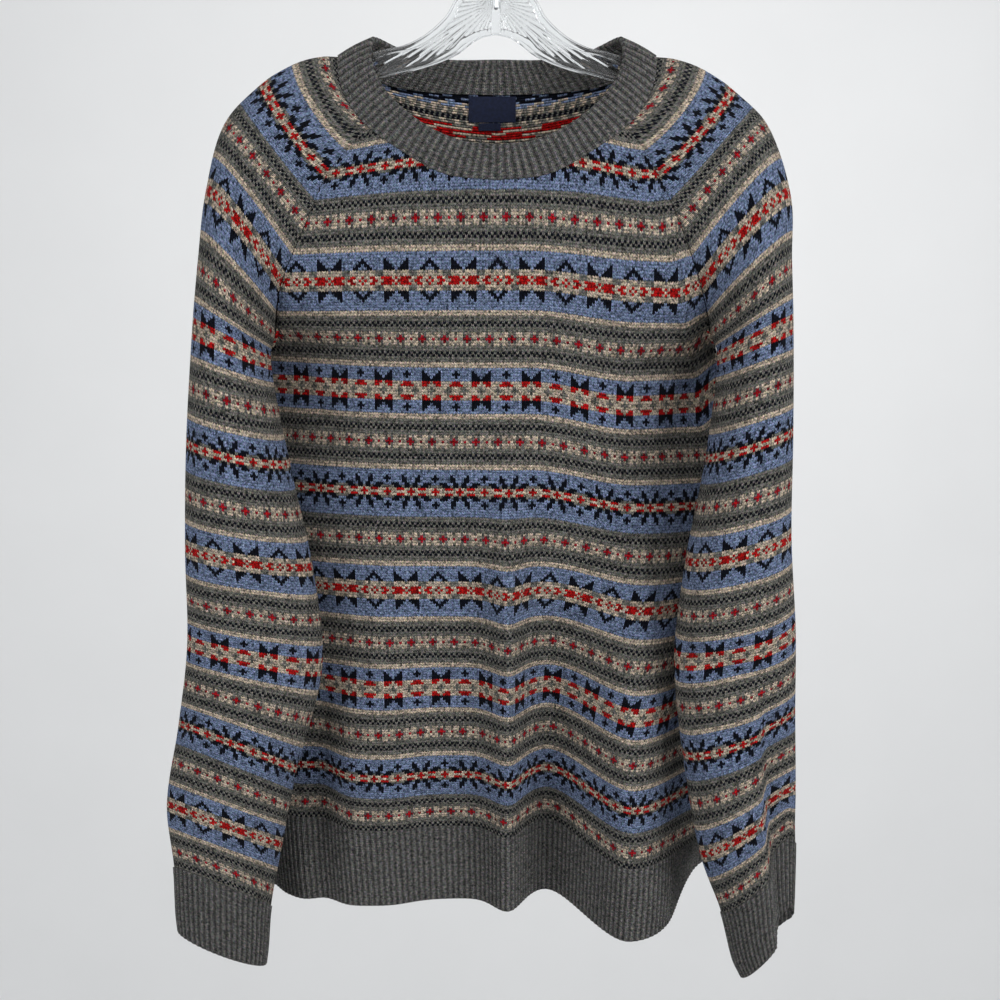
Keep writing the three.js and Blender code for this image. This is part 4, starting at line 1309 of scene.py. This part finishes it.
def build_hanger(scene):
    """The hanger's clear plate, cut to its outline and moulded in relief."""
    hanger = scene.jumper_hanger
    low, top = hanger_edge(HANGER_BOTTOM), hanger_edge(HANGER_TOP)
    k = np.linspace(0, 1, HANGER_ROWS)
    k = mix(k, ease(k), 0.6)
    right = mix(low[:, None], top[:, None], k[None, :, None])
    grid = np.concatenate([right[:0:-1] * np.array([-1, 1, 1]), right])
    tall = np.linalg.norm(grid[:, -1] - grid[:, 0], axis=-1)[:, None]
    slope = np.gradient(grid[:, HANGER_ROWS // 2], axis=0)
    level = np.abs(slope[:, 0]) / np.maximum(np.linalg.norm(slope, axis=-1), 1e-9)
    from_edge = np.minimum(k[None], 1 - k[None]) * tall * np.maximum(level, 0.5)[:, None]
    thick = hanger_thickness(hanger, grid, from_edge)
    front = turned(grid - xyz(0, thick, 0), HANGER_TILT)
    back = turned(grid + xyz(0, thick, 0), HANGER_TILT)
    uv = flute_places(hanger, grid, from_edge)
    material = shared("clear hanger plastic", lambda: plastic_material(hanger))
    not_closed = np.zeros(len(grid), bool)
    piece = shell("clear_hanger", front, back, uv, not_closed, [material, material])
    piece.visible_shadow = False
    dressed(piece, "hanger", slot="clear_plastic")


def tube(name, path, radius, sides, materials):
    """A round tube along a path in a plane square to Y, closed by domed ends."""
    tangent = unit(np.gradient(path, axis=0))
    side = np.tile(np.array([0.0, 1.0, 0.0]), (len(path), 1))
    up = np.cross(tangent, side)
    angles = np.linspace(0, 2 * np.pi, sides + 1)[:-1]
    rings = []

    def ring(centre, i, r):
        return centre + r * (np.cos(angles)[:, None] * side[i] + np.sin(angles)[:, None] * up[i])

    for angle in np.radians([12, 35, 60]):
        rings.append(ring(path[0] - tangent[0] * radius * np.cos(angle), 0, radius * np.sin(angle)))
    rings += [ring(path[i], i, radius) for i in range(len(path))]
    for angle in np.radians([60, 35, 12]):
        rings.append(ring(path[-1] + tangent[-1] * radius * np.cos(angle), -1, radius * np.sin(angle)))
    grid = np.array(rings).transpose(1, 0, 2)
    v = np.broadcast_to(np.arange(grid.shape[1]), grid.shape[:2])
    u = np.broadcast_to(np.arange(sides)[:, None], grid.shape[:2])
    return loop_band(name, grid, np.stack([u, v], axis=-1).astype(float), False, materials)


def metal_material(hook):
    n = Nodes("polished hook wire")
    place = n.add("ShaderNodeTexCoord").outputs["Object"]
    drawn = n.add("ShaderNodeMapping", {"Vector": place, "Scale": (900.0, 900.0, 60.0)}).outputs[0]
    scratch = n.add("ShaderNodeTexNoise", {"Vector": drawn, "Scale": 1.0, "Detail": 3.0}).outputs[0]
    rough = n.add(
        "ShaderNodeMapRange",
        {"Value": scratch, "From Min": 0.3, "From Max": 0.75, "To Min": 0.12, "To Max": 0.32},
    )
    colour = n.mix(scratch, rgba([c * 0.85 for c in hook.colour]), rgba(hook.colour))
    n.surface_values(Base_Color=colour, Metallic=1.0, Roughness=rough.outputs[0])
    n.bump(scratch, 0.00005, 0.3)
    return n.material


def build_hook(scene):
    hook = scene.jumper_hook
    radius = hook.wire / MM / 2
    centre_line = HOOK_INSIDE_RADIUS + radius
    turns = np.radians(np.arange(-45, 201, 4.5))
    loop = xyz(centre_line * np.cos(turns), 0, centre_line * np.sin(turns) - HOOK_INSIDE_RADIUS)
    shank = xyz(0, 0, np.linspace(-73, -47, 9))
    bend = np.array([[1.6, 0, -43], [6.2, 0, -38.4]])
    knots = np.concatenate([shank, bend, loop])
    run = arc(knots[None])[0]
    even = np.linspace(0, run[-1], 150)
    path = np.stack([smooth({"s": run, "v": knots[:, a]}, "v", even) for a in range(3)], axis=-1)
    material = shared("polished hook wire", lambda: metal_material(hook))
    piece = tube("wire_hook", turned(path, HANGER_TILT), radius, 16, [material])
    dressed(piece, "hanger_hook", slot="hook_metal")


def stage_material(stage):
    n = Nodes("pale studio paper")
    place = n.add("ShaderNodeTexCoord").outputs["Object"]
    grain = n.add("ShaderNodeTexNoise", {"Vector": place, "Scale": 3.0, "Detail": 4.0}).outputs[0]
    low = rgba([c * 0.98 for c in stage.colour])
    n.surface_values(Base_Color=n.ramp(grain, [(0.3, low), (0.7, rgba(stage.colour))], "LINEAR"))
    n.surface_values(Roughness=0.9, Specular_IOR_Level=0.1)
    return n.material


def area_light(name, place, aim, size, power):
    light = bpy.data.lights.new(name, "AREA")
    light.shape = "SQUARE"
    light.size = size
    light.energy = power
    lamp = bpy.data.objects.new(name, light)
    lamp.location = place
    lamp.rotation_euler = (Vector(aim) - Vector(place)).to_track_quat("-Z", "Y").to_euler()
    bpy.context.collection.objects.link(lamp)


def sky_world(stage):
    """Even light all round, brighter from above than from below."""
    world = bpy.data.worlds.new("studio")
    world.use_nodes = True
    tree = world.node_tree
    place = tree.nodes.new("ShaderNodeTexCoord").outputs["Generated"]
    parts = tree.nodes.new("ShaderNodeSeparateXYZ")
    blend = tree.nodes.new("ShaderNodeMapRange")
    blend.inputs["From Min"].default_value = -1.0
    blend.inputs["To Min"].default_value = stage.sky * 0.4
    blend.inputs["To Max"].default_value = stage.sky * 1.4
    sky = tree.nodes["Background"]
    sky.inputs["Color"].default_value = (0.96, 0.98, 1.0, 1.0)
    tree.links.new(place, parts.inputs[0])
    tree.links.new(parts.outputs["Z"], blend.inputs["Value"])
    tree.links.new(blend.outputs[0], sky.inputs["Strength"])
    return world


# The stage is worked out in metres
SWEEP_RADIUS = 1.2
SWEEP_FRONT_Y = -5.0
SWEEP_TOP_Z = 3.0
SWEEP_HALF_WIDTH = 7.0
CHEST = (0.0, 0.0, -0.35)


def build_stage(scene):
    """A pale sweep of floor and far backdrop, soft light and the camera."""
    stage = scene.jumper_stage
    y = [SWEEP_FRONT_Y, stage.backdrop - SWEEP_RADIUS]
    z = [stage.floor, stage.floor]
    for angle in np.linspace(0, math.pi / 2, 25)[1:]:
        y.append(stage.backdrop - SWEEP_RADIUS * (1 - math.sin(angle)))
        z.append(stage.floor + SWEEP_RADIUS * (1 - math.cos(angle)))
    y.append(stage.backdrop)
    z.append(SWEEP_TOP_Z)
    points = [(side * SWEEP_HALF_WIDTH, a, b) for a, b in zip(y, z) for side in (-1, 1)]
    faces = [(2 * i, 2 * i + 1, 2 * i + 3, 2 * i + 2) for i in range(len(y) - 1)]
    mesh = bpy.data.meshes.new("studio_floor")
    mesh.from_pydata(points, [], faces)
    mesh.shade_smooth()
    mesh.materials.append(stage_material(stage))
    floor = bpy.data.objects.new("studio_floor", mesh)
    scene.collection.objects.link(floor)

    area_light("key light", (1.9, -1.6, 0.5), CHEST, 1.3, stage.key)
    area_light("fill light", (-1.9, -1.9, 0.4), CHEST, 1.8, stage.fill)
    area_light("wall light", (0.4, 1.3, 0.0), (0.2, stage.backdrop, -0.9), 2.6, stage.wall)
    scene.world = sky_world(stage)

    camera = bpy.data.cameras.new("camera")
    camera.lens = CAMERA_LENS
    camera.sensor_width = CAMERA_SENSOR
    eye = bpy.data.objects.new("camera", camera)
    eye.location = CAMERA_PLACE
    eye.rotation_euler = (math.radians(CAMERA_TILT), 0, 0)
    scene.collection.objects.link(eye)
    scene.camera = eye
    scene.view_settings.view_transform = "Standard"


def length_setting(name, description, default):
    return bpy.props.FloatProperty(
        name=name, description=description, default=default, unit="LENGTH", precision=5
    )


def colour_setting(name, description, default):
    return bpy.props.FloatVectorProperty(
        name=name, description=description, default=default, subtype="COLOR", min=0, max=1
    )


def number_setting(name, description, default):
    return bpy.props.FloatProperty(name=name, description=description, default=default)


class JumperKnit(bpy.types.PropertyGroup):
    stitch: length_setting("Stitch width", "Width of one stitch", 0.00216)
    wall: length_setting("Wall", "Thickness of the patterned knit", 0.002)
    relief: length_setting("Stitch relief", "Height of a strand above its furrow", 0.001)
    vee: number_setting("V slope", "How many courses a stitch's legs rise", 0.45)
    heather: number_setting("Heather", "How mixed the fibres look", 1.0)
    fibre_scale: number_setting("Fibre scale", "Flecks to a stitch", 1.2)
    tint: number_setting("Fibre tint", "How far single fibres differ in colour", 0.45)
    fuzz: number_setting("Fuzz", "Soft sheen of the wool's loose fibres", 0.015)
    grey: colour_setting("Grey", "Grey heather ground", (0.115, 0.114, 0.102))
    oatmeal: colour_setting("Oatmeal", "Oatmeal heather", (0.37, 0.31, 0.242))
    blue: colour_setting("Blue", "Blue heather", (0.13, 0.172, 0.272))
    navy: colour_setting("Navy", "Navy", (0.002, 0.003, 0.007))
    red: colour_setting("Red", "Red", (0.29, 0.004, 0.004))
    crimson: colour_setting("Crimson", "Dark red of the small diamonds", (0.205, 0.007, 0.016))


class JumperRib(bpy.types.PropertyGroup):
    pitch: length_setting("Rib pitch", "From rib to rib on the hem and cuffs", 0.0048)
    neck_pitch: length_setting("Neck rib pitch", "From rib to rib on the neck", 0.0058)
    relief: length_setting("Rib relief", "Height of a rib", 0.001)
    neck_relief: length_setting("Neck rib relief", "Height of a rib on the neck", 0.0014)
    thickness: length_setting("Thickness", "Thickness of the hem and cuff ribs", 0.002)
    neck_thickness: length_setting("Neck thickness", "Thickness of the doubled neck rib", 0.0032)
    # Painted shade: how far the rib's base colour is darkened in the furrows
    furrow_shade: number_setting("Furrow shade", "How much darker the furrows are", 0.42)
    colour: colour_setting("Colour", "Grey heather of the ribs", (0.098, 0.0975, 0.094))


class JumperLabel(bpy.types.PropertyGroup):
    thickness: length_setting("Thickness", "Thickness of the woven tabs", 0.0006)
    thread: length_setting("Thread", "Spacing of the weave's threads", 0.0003)
    slack: length_setting("Slack", "How far a tab's middle stands off", 0.0004)
    colour: colour_setting("Colour", "Navy of the woven tabs", (0.006, 0.010, 0.031))


class JumperHanger(bpy.types.PropertyGroup):
    thickness: length_setting("Thickness", "Thickness of the hanger's rims", 0.007)
    web: length_setting("Web", "Thickness of the web between the rims", 0.0014)
    rim: length_setting("Rim", "Width of the rims", 0.0042)
    ridge: length_setting("Ridge", "Height of the sharp ridges along the flutes", 0.0011)
    flutes: number_setting("Flutes", "Flutes in half a turn about the post", 26.0)
    tint: colour_setting("Tint", "Tint of the clear plastic", (0.96, 0.98, 0.99))


class JumperHook(bpy.types.PropertyGroup):
    wire: length_setting("Wire", "Thickness of the hook's wire", 0.0034)
    colour: colour_setting("Colour", "Colour of the metal", (0.72, 0.73, 0.75))


class JumperStage(bpy.types.PropertyGroup):
    floor: length_setting("Floor", "Height of the floor", -4.8)
    backdrop: length_setting("Backdrop", "How far behind the jumper the sweep turns up", 3.6)
    key: number_setting("Key light", "Power of the soft light from the right, in watts", 44.0)
    fill: number_setting("Fill light", "Power of the soft light from the left, in watts", 26.0)
    wall: number_setting("Wall light", "Power of the soft light on the backdrop, in watts", 25.0)
    sky: number_setting("Sky", "Strength of the even light all round", 0.64)
    colour: colour_setting("Colour", "Colour of the floor and backdrop", (0.78, 0.78, 0.78))


class JUMPER_OT_front(bpy.types.Operator):
    """Knit the patterned front panel"""

    bl_idname = "jumper.front"
    bl_label = "Front panel"

    def execute(self, context):
        build_panel(context.scene, "front")
        return {"FINISHED"}


class JUMPER_OT_back(bpy.types.Operator):
    """Knit the patterned back panel"""

    bl_idname = "jumper.back"
    bl_label = "Back panel"

    def execute(self, context):
        build_panel(context.scene, "back")
        return {"FINISHED"}


class JUMPER_OT_sleeves(bpy.types.Operator):
    """Knit the two raglan sleeves"""

    bl_idname = "jumper.sleeves"
    bl_label = "Sleeves"

    def execute(self, context):
        for side in ("left", "right"):
            build_sleeve(context.scene, side)
        return {"FINISHED"}


class JUMPER_OT_neckband(bpy.types.Operator):
    """Knit the doubled neck rib"""

    bl_idname = "jumper.neckband"
    bl_label = "Neck rib"

    def execute(self, context):
        build_neckband(context.scene)
        return {"FINISHED"}


class JUMPER_OT_hem(bpy.types.Operator):
    """Knit the hem ribs of the front and the back"""

    bl_idname = "jumper.hem"
    bl_label = "Hem ribs"

    def execute(self, context):
        for panel in ("front", "back"):
            build_hem(context.scene, panel)
        return {"FINISHED"}


class JUMPER_OT_cuffs(bpy.types.Operator):
    """Knit the two cuffs"""

    bl_idname = "jumper.cuffs"
    bl_label = "Cuffs"

    def execute(self, context):
        for side in ("left", "right"):
            build_cuff(context.scene, side)
        return {"FINISHED"}


class JUMPER_OT_labels(bpy.types.Operator):
    """Weave the bare neck label and size tab"""

    bl_idname = "jumper.labels"
    bl_label = "Woven tabs"

    def execute(self, context):
        label, size_tab = [build_label(context.scene, name) for name in LABELS]
        return {"FINISHED"}


class JUMPER_OT_hanger(bpy.types.Operator):
    """Mould the clear plastic hanger"""

    bl_idname = "jumper.hanger"
    bl_label = "Hanger"

    def execute(self, context):
        build_hanger(context.scene)
        return {"FINISHED"}


class JUMPER_OT_hook(bpy.types.Operator):
    """Bend the hanger's wire hook"""

    bl_idname = "jumper.hook"
    bl_label = "Hook"

    def execute(self, context):
        build_hook(context.scene)
        return {"FINISHED"}


class JUMPER_OT_stage(bpy.types.Operator):
    """Set up the floor, the light and the camera"""

    bl_idname = "jumper.stage"
    bl_label = "Stage"

    def execute(self, context):
        build_stage(context.scene)
        return {"FINISHED"}


OPERATORS = (
    JUMPER_OT_front,
    JUMPER_OT_back,
    JUMPER_OT_sleeves,
    JUMPER_OT_neckband,
    JUMPER_OT_hem,
    JUMPER_OT_cuffs,
    JUMPER_OT_labels,
    JUMPER_OT_hanger,
    JUMPER_OT_hook,
    JUMPER_OT_stage,
)
SETTINGS = {
    "jumper_knit": JumperKnit,
    "jumper_rib": JumperRib,
    "jumper_label": JumperLabel,
    "jumper_hanger": JumperHanger,
    "jumper_hook": JumperHook,
    "jumper_stage": JumperStage,
}


class JUMPER_PT_panel(bpy.types.Panel):
    """Lists the jumper's pieces and their sizes"""

    bl_label = "Jumper"
    bl_space_type = "VIEW_3D"
    bl_region_type = "UI"
    bl_category = "Jumper"

    def draw(self, context):
        for operator in OPERATORS:
            self.layout.operator(operator.bl_idname)
        for name, settings in SETTINGS.items():
            box = self.layout.box()
            for key in settings.__annotations__:
                box.prop(getattr(context.scene, name), key)


def register():
    for item in (*SETTINGS.values(), *OPERATORS, JUMPER_PT_panel):
        bpy.utils.register_class(item)
    for name, settings in SETTINGS.items():
        setattr(bpy.types.Scene, name, bpy.props.PointerProperty(type=settings))


def unregister():
    for name in SETTINGS:
        delattr(bpy.types.Scene, name)
    for item in reversed((*SETTINGS.values(), *OPERATORS, JUMPER_PT_panel)):
        bpy.utils.unregister_class(item)


def main():
    register()
    bpy.ops.jumper.stage()
    bpy.ops.jumper.front()
    bpy.ops.jumper.back()
    bpy.ops.jumper.sleeves()
    bpy.ops.jumper.neckband()
    bpy.ops.jumper.hem()
    bpy.ops.jumper.cuffs()
    bpy.ops.jumper.labels()
    bpy.ops.jumper.hanger()
    bpy.ops.jumper.hook()


if __name__ == "__main__":
    main()
